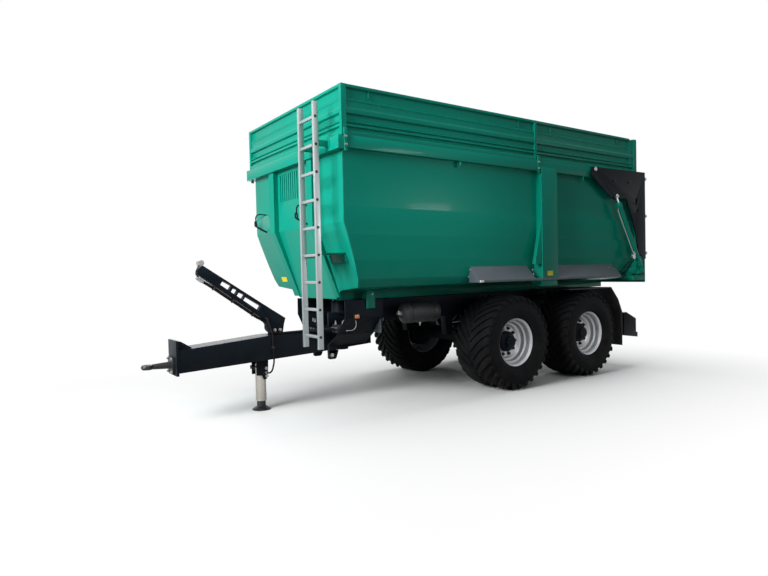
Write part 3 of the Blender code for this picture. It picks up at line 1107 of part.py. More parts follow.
def build_gate_cylinders(tip):
    foot, eye = Vector((GATE_CYLINDER_FOOT[0], 0, GATE_CYLINDER_FOOT[1])), Vector((GATE_CYLINDER_EYE[0], 0, GATE_CYLINDER_EYE[1]))
    along = (eye - foot).normalized()
    length = (eye - foot).length
    for side, name in ((1, "left"), (-1, "right")):
        shift = Vector((0, side * GATE_CYLINDER_Y, 0))
        swing = joint_at("gate_cylinder_swing_" + name, tip, foot + shift)

        def bar(start, end, radius, sides=12):
            return rod(foot + along * start + shift, foot + along * end + shift, radius, sides)

        def eyelet(at, radius):
            spot = foot + along * at + shift
            half = Vector((0, GATE_EYE_HALF, 0))
            return rod(spot - half, spot + half, radius)

        barrel_top = length - 0.12
        barrel = bar(0.08, barrel_top, GATE_BARREL_RADIUS)
        gland = bar(barrel_top - 0.05, barrel_top + 0.01, GATE_BARREL_RADIUS + 0.004)
        seat = foot + along * VALVE_AT + shift
        saddle = box(seat + Vector((0, -0.02, -0.02)), seat + Vector((0.075, 0.02, 0.02)))
        bore = bar(0.25, barrel_top + 0.05, GATE_ROD_RADIUS + RUNNING_GAP)
        piece("gate_barrel_" + name, "green_paint", swing, [barrel, gland, bar(0.0, 0.1, GATE_EYE_HALF - 0.002), eyelet(0.0, 0.032), saddle], [bore])
        out = Vector((along.z, 0, -along.x))
        block_at = seat + Vector((0.075 + FACE_GAP, 0, 0))
        block = box(block_at + Vector((0, -0.022, -0.035)), block_at + Vector((0.04, 0.022, 0.05)))
        port = foot + along * (barrel_top - 0.06) + shift
        pipe = hose((block_at + Vector((0.02, 0, 0.04)), port + out * 0.07 - along * 0.03, port + out * 0.06, port + out * (GATE_BARREL_RADIUS + 0.0045)), 0.008)
        nuts = [rod(block_at + Vector((0.02, 0, 0.045)), block_at + Vector((0.02, 0, 0.07)), 0.014, 6)]
        nuts.append(rod(block_at + Vector((0.035, 0, 0.01)), block_at + Vector((0.065, 0, 0.01)), 0.014, 6))
        piece("gate_valve_" + name, "galvanised", swing, [block, pipe, *nuts])
        slide = joint_at("gate_rod_slide_" + name, swing, foot + shift)
        piece("gate_rod_" + name, "chrome", slide, [bar(0.26, length, GATE_ROD_RADIUS), eyelet(length, 0.03)])


def build_guards(root):
    thick = GUARD_THICK
    outline = [
        (GUARD_FRONT, GUARD_TOP), (-1.24, GUARD_TOP), (-1.41, 1.04), (GUARD_REAR, 0.86), (GUARD_REAR, GUARD_BOTTOM),
        (GUARD_REAR + thick, GUARD_BOTTOM), (GUARD_REAR + thick, 0.855), (-1.40, 1.03), (-1.235, GUARD_TOP - thick),
        (GUARD_FRONT, GUARD_TOP - thick),
    ]
    for side, name in ((1, "left"), (-1, "right")):
        plate = prism(outline, "Y", GUARD_INNER, GUARD_OUTER)
        stay = box((-1.20, RAIL_Y + RAIL_WIDTH / 2 + FACE_GAP, GUARD_TOP - 0.07), (-1.13, GUARD_INNER + 0.05, GUARD_TOP - 0.005))
        stay_front = box((-0.40, RAIL_Y + RAIL_WIDTH / 2 + FACE_GAP, GUARD_TOP - 0.07), (-0.33, GUARD_INNER + 0.05, GUARD_TOP - 0.005))
        shapes = [plate, stay, stay_front]
        if side < 0:
            shapes = [mirrored(shape) for shape in shapes]
        piece("mudguard_" + name, "black_plastic", root, shapes)

    half = CARRIER_TUBE / 2
    tube = box((CARRIER_X - half, -LAMP_OUTER + 0.02, CARRIER_Z - half), (CARRIER_X + half, LAMP_OUTER - 0.02, CARRIER_Z + half))
    hood = prism(
        [(-1.56, 0.83), (-1.62, 0.84), (-1.87, 0.73), (-1.87, 0.53), (-1.91, 0.52), (-1.91, 0.45), (-1.56, 0.50)],
        "Y", LAMP_INNER, LAMP_OUTER,
    )
    piece("light_carrier", "dark_paint", root, [tube, *both(hood)])
    for side, name in ((1, "left"), (-1, "right")):
        low, high = sorted((side * (LAMP_INNER + 0.03), side * (LAMP_OUTER - 0.03)))
        piece("rear_lamp_" + name, "red_lens", root, [box((-1.905, low, 0.56), (-1.87 - FACE_GAP, high, 0.70))])

    tank = lathe(
        [
            (TANK_REAR, 0.0), (TANK_REAR + 0.012, 0.6 * TANK_RADIUS), (TANK_REAR + 0.045, TANK_RADIUS),
            (TANK_FRONT - 0.045, TANK_RADIUS), (TANK_FRONT - 0.012, 0.6 * TANK_RADIUS), (TANK_FRONT, 0.0),
        ],
        16, "X", (0, TANK_Y, TANK_Z),
    )
    straps = [
        box((x - 0.02, RAIL_Y + RAIL_WIDTH / 2 + FACE_GAP, TANK_Z - 0.05), (x + 0.02, TANK_Y - 0.05, TANK_Z + 0.05))
        for x in (TANK_REAR + 0.12, TANK_FRONT - 0.12)
    ]
    piece("air_tank", "black_plastic", root, [tank, *straps])


def main():
    for obj in list(bpy.data.objects):
        bpy.data.objects.remove(obj, do_unlink=True)
    root = joint_at("trailer", None, (0, 0, 0))
    build_chassis(root)
    build_suspension(root)
    build_wheels(root)
    build_drawbar(root)
    build_jack(root)
    build_tipping_cylinder(root)
    build_guards(root)
    tip = joint_at("tub_tip", root, (TIP_X, 0, TIP_Z))
    build_tub(tip)
    build_front_wall(tip)
    build_extension(tip)
    build_side_fittings(tip)
    build_ladder(tip)
    build_tailgate(tip)
    build_gate_cylinders(tip)


main()
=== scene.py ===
# %% [markdown]
# # A tandem tipping trailer, dressed for the camera
#
# The imported model gives every solid in its real place. This lesson adds what the eye looks for:
# gloss paint on folded steel, rubber with lugs, dished rims, bolts, hoses, labels and lamps. The
# frame is loaded once.

# %% The frame
import json
import math

import bmesh
import bpy
from mathutils import Matrix, Vector


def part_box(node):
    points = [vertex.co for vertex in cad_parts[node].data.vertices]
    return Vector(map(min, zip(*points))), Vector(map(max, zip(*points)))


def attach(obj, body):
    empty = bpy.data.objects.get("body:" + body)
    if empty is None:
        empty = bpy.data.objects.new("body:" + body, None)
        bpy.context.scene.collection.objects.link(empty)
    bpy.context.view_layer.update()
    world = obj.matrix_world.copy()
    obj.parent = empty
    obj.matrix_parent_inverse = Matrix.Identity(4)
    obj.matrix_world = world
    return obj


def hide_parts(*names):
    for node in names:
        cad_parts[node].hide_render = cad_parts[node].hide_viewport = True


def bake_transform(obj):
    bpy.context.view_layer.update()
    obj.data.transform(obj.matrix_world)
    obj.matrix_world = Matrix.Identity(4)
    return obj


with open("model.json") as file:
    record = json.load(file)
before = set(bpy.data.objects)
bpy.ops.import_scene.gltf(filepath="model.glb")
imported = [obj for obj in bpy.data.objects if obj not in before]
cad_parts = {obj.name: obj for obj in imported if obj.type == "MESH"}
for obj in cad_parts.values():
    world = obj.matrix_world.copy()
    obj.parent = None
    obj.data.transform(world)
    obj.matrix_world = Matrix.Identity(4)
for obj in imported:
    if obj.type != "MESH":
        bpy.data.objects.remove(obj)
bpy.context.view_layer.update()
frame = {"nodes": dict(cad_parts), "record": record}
nodes = frame["nodes"]

# %% [markdown]
# ## Writing materials as sums
#
# A finish is a few sums on noise: dust is where height is low and noise is high. Each number that
# changes over the surface is a Signal, and + - * on it add the Math nodes. One method, `node`,
# makes every other kind of node, so that a finish reads as a recipe and not as wiring. The floor
# and the world are wired the same way.

# %% Signals
class Signal:
    """A number that changes over a surface."""

    def __init__(self, wiring, socket):
        self.wiring = wiring
        self.socket = socket

    def __add__(self, other):
        return self.wiring.maths("ADD", self, other)

    def __radd__(self, other):
        return self.wiring.maths("ADD", other, self)

    def __sub__(self, other):
        return self.wiring.maths("SUBTRACT", self, other)

    def __rsub__(self, other):
        return self.wiring.maths("SUBTRACT", other, self)

    def __mul__(self, other):
        return self.wiring.maths("MULTIPLY", self, other)

    def clipped(self, low, high):
        """0 below low, 1 above high, and straight between them."""
        sockets = {0: self, 1: low, 2: high, 3: 0.0, 4: 1.0}
        return self.wiring.node("ShaderNodeMapRange", {"clamp": True}, sockets)


# %% Node trees
class Wiring:
    """A node tree that is written with Signals."""

    def __init__(self, tree):
        self.tree = tree

    def put(self, node, socket, value):
        target = node.inputs[socket]
        if isinstance(value, Signal):
            self.tree.links.new(value.socket, target)
        else:
            target.default_value = value

    def node(self, kind, settings, sockets, output=0):
        made = self.tree.nodes.new(kind)
        for key, value in settings.items():
            setattr(made, key, value)
        for socket, value in sockets.items():
            self.put(made, socket, value)
        return Signal(self, made.outputs[output])

    def maths(self, operation, first, second):
        return self.node("ShaderNodeMath", {"operation": operation}, {0: first, 1: second})

    def part(self, vector, axis):
        """One of a vector's numbers: 0 for X, 1 for Y, 2 for Z."""
        return self.node("ShaderNodeSeparateXYZ", {}, {0: vector}, axis)

    def in_view(self):
        """1 on the rays that show a thing to the eye, straight on, in gloss and through glass."""
        rays = self.tree.nodes.new("ShaderNodeLightPath").outputs
        gloss, glass = Signal(self, rays["Is Glossy Ray"]), Signal(self, rays["Is Transmission Ray"])
        return (gloss + glass + Signal(self, rays["Is Camera Ray"])).clipped(0.0, 1.0)


# %% Finishes
class Finish(Wiring):
    """A material, its Principled shader and the record's slot that it stands for."""

    def __init__(self, name, slot, colour, roughness, metallic=0.0, specular=0.5, coat=0.0, coat_rough=0.1):
        self.slot = slot
        self.material = bpy.data.materials.new(name)
        self.material.use_nodes = True
        super().__init__(self.material.node_tree)
        self.shader = self.tree.nodes["Principled BSDF"]
        looks = {
            "Base Color": (*colour, 1.0), "Roughness": roughness, "Metallic": metallic,
            "Specular IOR Level": specular, "Coat Weight": coat, "Coat Roughness": coat_rough,
        }
        for socket, value in looks.items():
            self.put(self.shader, socket, value)
        surface = self.tree.nodes.new("ShaderNodeTexCoord").outputs
        self.place = Signal(self, surface["Object"])
        self.facing = Signal(self, surface["Normal"])

    def noise(self, scale, detail=3.0, stretch=(1.0, 1.0, 1.0)):
        spot = self.place
        if stretch != (1.0, 1.0, 1.0):
            spot = self.node("ShaderNodeMapping", {}, {"Vector": self.place, "Scale": stretch})
        return self.node("ShaderNodeTexNoise", {}, {"Vector": spot, "Scale": scale, "Detail": detail})

    def mixed(self, amount, first, second):
        """A colour between two, by an amount from 0 to 1."""
        return self.node("ShaderNodeMix", {"data_type": "RGBA"}, {0: amount, 6: first, 7: second}, 2)

    def tint(self, amount, colour):
        """Lays another colour over the base where the amount is high."""
        under = self.shader.inputs["Base Color"]
        first = Signal(self, under.links[0].from_socket) if under.is_linked else tuple(under.default_value)
        self.put(self.shader, "Base Color", self.mixed(amount, first, (*colour, 1.0)))

    def rough(self, amount):
        self.put(self.shader, "Roughness", amount)

    def bump(self, height, strength, distance):
        sockets = {"Height": height, "Strength": strength, "Distance": distance}
        self.put(self.shader, "Normal", self.node("ShaderNodeBump", {}, sockets))


# %% Dust
DUST = (0.34, 0.30, 0.24)


def dusty(finish, top, reach, most, grain=3.0):
    """Road dust that thins out from the ground up to a height, patchy by noise."""
    low = 1.0 - finish.part(finish.place, 2).clipped(top - reach, top)
    patches = finish.noise(grain, 5.0).clipped(0.38, 0.72)
    amount = low * patches * most
    finish.tint(amount, DUST)
    return amount


# %% [markdown]
# ## The paints
#
# The trough is sprayed in a deep sea green. Sprayed steel isn't optically flat: it has orange peel,
# a fine low swell that breaks up reflections, and soft waves where the sheet is welded to its ribs.
# Modelled waves would cost triangles and would never show in outline, so both are bump here. The
# chassis is a satin anthracite, which shows dust. The mud deflectors' slate grey is a painted
# reflection: a light colour that stands in for the sky's sheen on their upward slope.

# %% Paint finishes
# Each paint's colour, and the shade that lies over it in patches
GREEN, GREEN_SHADE = (0.003, 0.305, 0.215), (0.003, 0.265, 0.19)
ANTHRACITE, ANTHRACITE_SHADE = (0.008, 0.0125, 0.018), (0.06, 0.068, 0.076)
# The slate grey lifts the mud deflectors' colour: a painted reflection of the sky on their upward slope
SLATE, SLATE_SHADE = (0.125, 0.15, 0.175), (0.17, 0.185, 0.20)


def sprayed(paint, peel_scale, peel, wave_scale, strength, depth):
    """Orange peel over the soft waves of welded sheet."""
    paint.bump(paint.noise(peel_scale, 1.0) * peel + paint.noise(wave_scale, 1.0), strength, depth)


def green_finish():
    paint = Finish("green_gloss", "green_paint", GREEN, 0.3, specular=0.05, coat=0.05, coat_rough=0.08)
    paint.tint(paint.noise(1.1, 2.0).clipped(0.3, 0.8) * 0.3, GREEN_SHADE)
    dust = dusty(paint, 1.75, 0.6, 0.07)
    paint.rough(0.27 + dust * 1.6 + paint.noise(30.0) * 0.08)
    sprayed(paint, 420.0, 0.15, 5.0, 0.22, 0.0022)
    return paint


def dark_finish():
    paint = Finish("anthracite_satin", "dark_paint", ANTHRACITE, 0.42, specular=0.05, coat_rough=0.25)
    dust = dusty(paint, 1.1, 0.9, 0.05)
    up = paint.part(paint.facing, 2).clipped(0.4, 1.0)
    paint.tint(up * paint.noise(4.0, 6.0).clipped(0.35, 0.75) * 0.15, ANTHRACITE_SHADE)
    paint.rough(0.36 + dust * 0.9 + paint.noise(22.0) * 0.1)
    sprayed(paint, 300.0, 0.2, 7.0, 0.2, 0.0018)
    return paint


def slate_finish():
    """The deflectors' grey is a painted sky reflection on their upward slope, under rougher, lighter streaks.
    """
    paint = Finish("slate_satin", "dark_paint", SLATE, 0.5, specular=0.2)
    streaks = paint.noise(3.0, 5.0, (0.4, 1.0, 3.0)).clipped(0.35, 0.75)
    paint.tint(streaks * 0.45, SLATE_SHADE)
    paint.rough(0.42 + streaks * 0.2)
    sprayed(paint, 300.0, 0.2, 7.0, 0.2, 0.0018)
    return paint


green = green_finish()
dark = dark_finish()
slate = slate_finish()
print("paints", green.material.name, dark.material.name, slate.material.name)

# %% [markdown]
# ## Metals, rubber and lenses
#
# Galvanised steel has a spangle of zinc crystals, which a Voronoi cell pattern gives. Drawn
# aluminium has fine lines along its length. Rubber is nearly black and rough, and is browner
# where dust sits. A lens is a coloured coat over fine ribs. The small plain parts differ only in
# colour and grain, so one function makes all their finishes.

# %% Other finishes
def galvanised_finish():
    zinc = Finish("zinc_dipped", "galvanised", (0.46, 0.44, 0.39), 0.45, 0.75)
    cells = zinc.node("ShaderNodeTexVoronoi", {}, {"Vector": zinc.place, "Scale": 90.0})
    zinc.tint(cells.clipped(0.15, 0.7) * 0.35, (0.62, 0.6, 0.56))
    zinc.rough(0.38 + zinc.noise(60.0) * 0.2)
    return zinc


def aluminium_finish():
    metal = Finish("drawn_aluminium", "aluminium", (0.41, 0.455, 0.46), 0.4, 0.6)
    lines = metal.noise(160.0, 2.0, (1.0, 1.0, 0.03))
    metal.rough(0.3 + lines * 0.18)
    metal.tint(metal.noise(9.0, 5.0).clipped(0.45, 0.8) * 0.3, (0.33, 0.37, 0.375))
    metal.bump(lines, 0.12, 0.0006)
    return metal


def rim_finish():
    colour = (0.64, 0.66, 0.685)
    paint = Finish("rim_silver_paint", "rim_silver", colour, 0.34, 0.35, coat=0.4, coat_rough=0.12)
    dust = dusty(paint, 1.2, 1.2, 0.16, 6.0)
    paint.rough(0.3 + dust * 0.8)
    paint.bump(paint.noise(700.0, 1.0), 0.1, 0.0004)
    return paint


def rubber_finish(name, slot, colour, dust_most):
    rubber = Finish(name, slot, colour, 0.72, specular=0.06)
    dust = dusty(rubber, 1.3, 1.3, dust_most, 5.0)
    rubber.rough(0.62 + dust * 0.5 + rubber.noise(40.0) * 0.12)
    rubber.bump(rubber.noise(240.0, 4.0), 0.25, 0.0012)
    return rubber


def plain_finish(name, slot, colour, roughness, metallic=0.0, grain=120.0):
    """A small part's finish: a fine grain, and patches that are a little worn."""
    finish = Finish(name, slot, colour, roughness, metallic, specular=0.35)
    worn = tuple(channel * 0.75 + 0.02 for channel in colour)
    finish.tint(finish.noise(14.0, 4.0).clipped(0.4, 0.8) * 0.3, worn)
    finish.rough(roughness * 0.85 + finish.noise(25.0) * roughness * 0.35)
    finish.bump(finish.noise(grain, 3.0), 0.15, 0.0008)
    return finish


def lens_finish(name, slot, colour):
    """Cast ribs of a lamp's lens."""
    lens = Finish(name, slot, colour, 0.12, coat=0.8, coat_rough=0.04)
    ribs = lens.node("ShaderNodeTexWave", {"bands_direction": "Y"}, {"Vector": lens.place, "Scale": 40.0}, 1)
    lens.tint(ribs * 0.3, tuple(channel * 0.55 for channel in colour))
    lens.bump(ribs, 0.4, 0.001)
    return lens


zinc = galvanised_finish()
aluminium = aluminium_finish()
silver = rim_finish()
tyre_rubber = rubber_finish("tyre_rubber", "tyre", (0.0075, 0.0082, 0.0098), 0.06)
hose_rubber = rubber_finish("hose_rubber", "rubber_hose", (0.012, 0.012, 0.013), 0.05)
plastic = plain_finish("black_moulding", "black_plastic", (0.014, 0.014, 0.016), 0.55)
black = plain_finish("black_oxide", "black_steel", (0.022, 0.023, 0.025), 0.42, 0.4)
steel = plain_finish("zinc_plated", "galvanised", (0.36, 0.36, 0.355), 0.36, 0.8)
chrome = plain_finish("hard_chrome", "chrome", (0.72, 0.73, 0.75), 0.12, 1.0, 30.0)
red = lens_finish("red_lens", "red_lens", (0.42, 0.012, 0.01))
amber = lens_finish("amber_lens", "amber_lens", (0.85, 0.25, 0.01))
white = lens_finish("clear_reflector", "amber_lens", (0.85, 0.86, 0.86))
yellow = plain_finish("yellow_label", "amber_lens", (0.85, 0.68, 0.01), 0.4, 0.0, 300.0)
print("finishes", len(bpy.data.materials))

# %% [markdown]
# ## Showing a piece
#
# Every piece ends the same way: its mesh is smoothed up to a crease angle, takes one finish, rides
# on a body of the frame when one is given, and may hide the solid of the model that it stands for.
# The piece's object stays at the origin, with its place in its mesh.

# %% From mesh to piece
def show(name, bm, finish, body=None, stands_for=(), crease=38):
    mesh = bpy.data.meshes.new(name)
    bm.to_mesh(mesh)
    bm.free()
    mesh.shade_smooth()
    mesh.set_sharp_from_angle(angle=math.radians(crease))
    mesh.materials.append(finish.material)
    piece = bpy.data.objects.new(name, mesh)
    bpy.context.scene.collection.objects.link(piece)
    if body:
        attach(piece, body)
    if stands_for:
        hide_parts(*stands_for)
    print(name, len(mesh.polygons), "faces on", body or "two bodies")
    return piece


def join(target, part):
    """Adds one bmesh to another."""
    scratch = bpy.data.meshes.new("scratch")
    part.to_mesh(scratch)
    part.free()
    target.from_mesh(scratch)
    bpy.data.meshes.remove(scratch)


# %% [markdown]
# ## Edges that catch the light
#
# A folded or flame-cut sheet has no knife edge, and its small round is what the eye reads as steel.
# A copy of each solid is merged, its flat triangles are dissolved into whole faces, and a bevel
# with hardened normals rounds each edge and keeps the faces between them flat. A sheet's folds turn
# by only two or three degrees, so they count as edges too, while a turned part stays smooth.

# %% Softened copies of the solids
body_of = {name: body for body, names in frame["record"]["behaviour"]["bodies"].items() for name in names}
MERGE = 1e-5
FLAT = math.radians(0.7)
SHEET, TURNED = math.radians(1.4), math.radians(24)


def merged(node):
    """A bmesh of a solid, its loose triangles joined."""
    bm = bmesh.new()
    bm.from_mesh(nodes[node].data)
    bmesh.ops.remove_doubles(bm, verts=bm.verts, dist=MERGE)
    return bm


def softened(node, finish, width, fold, bm=None):
    """A rounded copy of a solid, which stands for it. Edges sharper than the fold are rounded."""
    bm = bm or merged(node)
    bmesh.ops.dissolve_limit(bm, angle_limit=FLAT, verts=bm.verts, edges=bm.edges)
    piece = show(node + "_shown", bm, finish, body_of[node], (node,), 180)
    bevel = piece.modifiers.new("edges", "BEVEL")
    bevel.width = width
    bevel.segments = 2
    bevel.limit_method = "ANGLE"
    bevel.angle_limit = fold
    bevel.harden_normals = True
    return piece


# Each group: finish, width of the rounded edge, the least fold that counts as an edge, its nodes
SOFTENED = (
    (green, 0.003, SHEET, "tub_side_left tub_side_right tub_floor tub_underframe"),
    (green, 0.003, SHEET, "side_post_left side_post_right extension_left extension_right"),
    (green, 0.003, SHEET, "extension_front extension_rear tailgate_panel"),
    (green, 0.0015, TURNED, "gate_barrel_left gate_barrel_right"),
    (dark, 0.002, SHEET, "gate_arm_left gate_arm_right hose_arm jack_bracket"),
    (dark, 0.004, SHEET, "chassis_frame front_cradle drawbar light_carrier springs_left springs_right"),
    (dark, 0.003, TURNED, "axle_front axle_rear tipping_barrel"),
    (plastic, 0.002, TURNED, "mudguard_left mudguard_right air_tank"),
    (zinc, 0.0015, TURNED, "jack_tube"),
    (steel, 0.001, TURNED, "gate_valve_left gate_valve_right"),
    (black, 0.002, TURNED, "towing_eye jack_leg"),
    (chrome, 0.0008, TURNED, "gate_rod_left gate_rod_right"),
)
for finish, width, fold, names in SOFTENED:
    for node in names.split():
        softened(node, finish, width, fold)
for number in range(1, 7):
    softened("tipping_stage_%d" % number, chrome, 0.0008, TURNED)

# %% [markdown]
# ## Three solids that are trimmed
#
# The front wall's solid has plain hexagon bars for its grab handles. They are cut out of the copy,
# and the holes are filled, because the real handles are bent from round bar with a hooked end and
# are modelled below. The two mud deflectors start further ahead and end earlier than their solids.

# %% Places and directions
SIDES = ((1, "left"), (-1, "right"))
OUT, AHEAD, BACK = Vector((0, 1, 0)), Vector((1, 0, 0)), Vector((-1, 0, 0))
TANDEM_X = (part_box("tyre_front_left")[0].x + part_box("tyre_rear_left")[1].x) / 2
print("middle of the tandem at", round(TANDEM_X, 4))


def at(x, y, z):
    """A place measured from the ground under the middle of the tandem."""
    return Vector((x + TANDEM_X, y, z))


# %% Front wall
FRONT_FACE = 3.173
HANDLE_HEIGHTS = (2.0, 2.34)
# Each solid handle: from, to across the wall
HANDLE_SPANS = ((-1.0, -0.73), (-0.03, 0.18))

wall = merged("tub_front")
handle_faces = []
for face in wall.faces:
    spot = face.calc_center_median()
    raised = spot.x > FRONT_FACE + TANDEM_X + 10 * MERGE and HANDLE_HEIGHTS[0] < spot.z < HANDLE_HEIGHTS[1]
    if raised and any(start < spot.y < end for start, end in HANDLE_SPANS):
        handle_faces.append(face)
bmesh.ops.delete(wall, geom=handle_faces, context="FACES")
bmesh.ops.holes_fill(wall, edges=wall.edges[:], sides=0)
print("handle faces", len(handle_faces), "open edges left", sum(edge.is_boundary for edge in wall.edges))
softened("tub_front", green, 0.003, SHEET, wall)

# %% Mud deflectors
DEFLECTOR_END, DEFLECTOR_FRONT = -1.44, 1.24
NOSE = 0.165
NOSE_DEPTH = 0.02

for _, side_name in SIDES:
    shelf = merged("deflector_" + side_name)
    geom = shelf.verts[:] + shelf.edges[:] + shelf.faces[:]
    cut = at(DEFLECTOR_END, 0, 0)
    bmesh.ops.bisect_plane(shelf, geom=geom, plane_co=cut, plane_no=BACK, clear_outer=True)
    bmesh.ops.holes_fill(shelf, edges=shelf.edges[:], sides=0)
    nose = [vert for vert in shelf.verts if vert.co.x > DEFLECTOR_FRONT + TANDEM_X - NOSE_DEPTH]
    bmesh.ops.translate(shelf, vec=AHEAD * NOSE, verts=nose)
    softened("deflector_" + side_name, slate, 0.002, SHEET, shelf)

# %% [markdown]
# ## Tyres
#
# The real tyre is a wide flotation tyre: a round carcass with some thirty curved lugs on each half.
# Bump could draw the lugs, but they make the tyre's outline, so they are modelled. The carcass is
# one profile turned round the axle. A lug starts as a cube, is cut into stations along its length,
# and each station is laid on the carcass: it leaves the shoulder square across and swings round
# towards the middle, like a paddle. One lug is then turned into a full ring.

# %% Tyre sizes
low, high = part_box("tyre_front_left")
TYRE_RADIUS = (high.z - low.z) / 2
TYRE_HALF = (high.y - low.y) / 2
TYRE_STEPS = 96
# A lug: its height, how deep its foot sinks in, its widths at the middle and the shoulder, how far
# it swings, how much narrower its top is than its foot, and how low it ends at the shoulder
LUG, LUG_ROOT = 0.028, 0.006
LUG_WIDTHS = (0.034, 0.064)
LUG_TURN = math.radians(25)
LUG_FOOT, LUG_TOP = 1.12, 0.86
LUG_FALL = 0.35
LUG_EDGE = 0.004
LUG_STATIONS = 7
LUGS_A_SIDE = 30
LUG_START = 0.016
BASE = TYRE_RADIUS - LUG
# The carcass from the middle outwards: place along the axle, radius
TREAD = (
    (0.0, BASE + 0.003), (0.10, BASE + 0.002), (0.18, BASE - 0.003), (0.235, BASE - 0.012),
    (TYRE_HALF - 0.028, BASE - 0.028), (0.277, BASE - 0.055),
)
SIDEWALL = (
    (0.285, 0.470), (TYRE_HALF, 0.430), (0.289, 0.398), (0.284, 0.392), (0.281, 0.365), (0.272, 0.340),
    (0.264, 0.332), (0.262, 0.322), (0.250, 0.312), (0.238, 0.306), (0.226, 0.300),
)
CARCASS = TREAD + SIDEWALL
print("tyre radius", round(TYRE_RADIUS, 3), "width", round(2 * TYRE_HALF, 3))

# %% Turning and repeating round the axle
def turned(profile, steps, close=False):
    """A profile of (place along the axle, radius) turned once round the axle."""
    bm = bmesh.new()
    verts = [bm.verts.new((0.0, along, radius)) for along, radius in profile]
    edges = [bm.edges.new(pair) for pair in zip(verts, verts[1:])]
    if close:
        edges.append(bm.edges.new((verts[-1], verts[0])))
    bmesh.ops.spin(
        bm, geom=verts + edges, cent=(0, 0, 0), axis=(0, 1, 0), angle=math.tau, steps=steps, use_merge=True,
    )
    bmesh.ops.remove_doubles(bm, verts=bm.verts, dist=MERGE)
    bmesh.ops.recalc_face_normals(bm, faces=bm.faces)
    return bm


def ring_of(bm, count):
    """Repeats a mesh round the axle."""
    bmesh.ops.spin(
        bm, geom=bm.verts[:] + bm.edges[:] + bm.faces[:], cent=(0, 0, 0), axis=(0, 1, 0),
        angle=math.tau * (count - 1) / count, steps=count - 1, use_duplicate=True,
    )


# %% One lug
def along_carcass(share):
    """A point and its outward direction on the tread, from the middle (0) to the shoulder (1)."""
    path = [Vector((LUG_START, TREAD[0][1]))] + [Vector(point) for point in TREAD[1:]]
    spot = share * (len(path) - 1)
    index = min(int(spot), len(path) - 2)
    run = path[index + 1] - path[index]
    return path[index] + run * (spot - index), Vector((-run.y, run.x)).normalized()


def tread_lug():
    """One lug of the outer half, at the top of the tyre."""
    bm = bmesh.new()
    bmesh.ops.create_cube(bm, size=1.0)
    long_edges = [edge for edge in bm.edges if abs(edge.verts[0].co.y - edge.verts[1].co.y) > 0.5]
    bmesh.ops.subdivide_edges(bm, edges=long_edges, cuts=LUG_STATIONS, use_grid_fill=True)
    narrow, wide = LUG_WIDTHS
    for vert in bm.verts:
        share = vert.co.y + 0.5
        point, out = along_carcass(share)
        top = vert.co.z > 0
        rise = LUG * (LUG_FALL if share > 0.99 else 1.0) if top else -LUG_ROOT
        width = (narrow + (wide - narrow) * share) * (LUG_TOP if top else LUG_FOOT)
        reach = point + out * rise
        angle = vert.co.x * width / BASE + LUG_TURN * (1 - share) ** 2
        radius = min(reach.y, TYRE_RADIUS)
        vert.co = (radius * math.sin(angle), reach.x, radius * math.cos(angle))
    corners = [edge for edge in bm.edges if edge.is_manifold and edge.calc_face_angle(0.0) > 0.9]
    bmesh.ops.bevel(
        bm, geom=corners, offset=LUG_EDGE, offset_type="OFFSET", affect="EDGES", segments=1, profile=0.5,
        material=-1, clamp_overlap=True,
    )
    bmesh.ops.recalc_face_normals(bm, faces=bm.faces)
    return bm


# %% The whole tyre
def mirrored(bm, turn=0.0):
    """A copy on the other side of the axle's middle, turned a little."""
    other = bm.copy()
    bmesh.ops.scale(other, vec=(1, -1, 1), verts=other.verts)
    bmesh.ops.rotate(other, cent=(0, 0, 0), matrix=Matrix.Rotation(turn, 3, "Y"), verts=other.verts)
    bmesh.ops.reverse_faces(other, faces=other.faces)
    return other


def tyre_shape():
    halves = [(-along, radius) for along, radius in CARCASS[:0:-1]] + list(CARCASS)
    tyre = turned(halves, TYRE_STEPS)
    lugs = tread_lug()
    ring_of(lugs, LUGS_A_SIDE)
    join(tyre, mirrored(lugs, math.pi / LUGS_A_SIDE))
    join(tyre, lugs)
    return tyre


# %% [markdown]
# ## Rims
#
# The rim is pressed from sheet and welded to a disc: a rolled flange, a deep barrel, a stepped
# well and a flat disc that ten studs clamp to the hub. The steps are what catches the light, so
# the profile follows each of them and is turned as one closed line. The dark hub cap and the studs
# are their own pieces.

# %% Rim and hub profiles
RIM_STEPS, HUB_STEPS = 72, 48
DISC = 0.05
# Both profiles: place along the axle, radius
RIM_PROFILE = (
    (DISC - 0.012, 0.10), (DISC, 0.128), (DISC, 0.192), (DISC + 0.004, 0.200), (0.078, 0.212), (0.084, 0.219),
    (0.084, 0.228), (0.090, 0.236), (0.104, 0.243), (0.128, 0.247), (0.140, 0.251), (0.146, 0.262),
    (0.155, 0.270), (0.170, 0.2725), (0.214, 0.2745), (0.222, 0.278), (0.228, 0.288), (0.2335, 0.2972),
    (0.2375, 0.2995), (0.2345, 0.3015), (0.2265, 0.300), (0.222, 0.290), (0.210, 0.2845), (-0.21, 0.2845),
    (-0.222, 0.290), (-0.2345, 0.3015), (-0.2375, 0.2995), (-0.222, 0.278), (-0.16, 0.270), (-0.02, 0.262),
    (DISC - 0.014, 0.20), (DISC - 0.014, 0.10),
)
HUB_PROFILE = (
    (-0.03, 0.0), (-0.03, 0.148), (DISC - 0.015, 0.148), (DISC - 0.013, 0.132), (0.092, 0.128),
    (0.104, 0.118), (0.108, 0.104), (0.116, 0.098), (0.122, 0.084), (0.146, 0.080), (0.158, 0.074),
    (0.163, 0.060), (0.165, 0.0),
)
# Rings of nuts: how many, the ring's radius, its seat along the axle, its turn, size across, height
NUT_RINGS = ((10, 0.1675, DISC, 0.5, 0.032, 0.026), (8, 0.062, 0.158, 0.0, 0.013, 0.008))
STEM_AT, STEM_TILT = (0.255, 0.165, 0.0), math.radians(-70)
print("rim profile", len(RIM_PROFILE), "points, hub profile", len(HUB_PROFILE), "points")

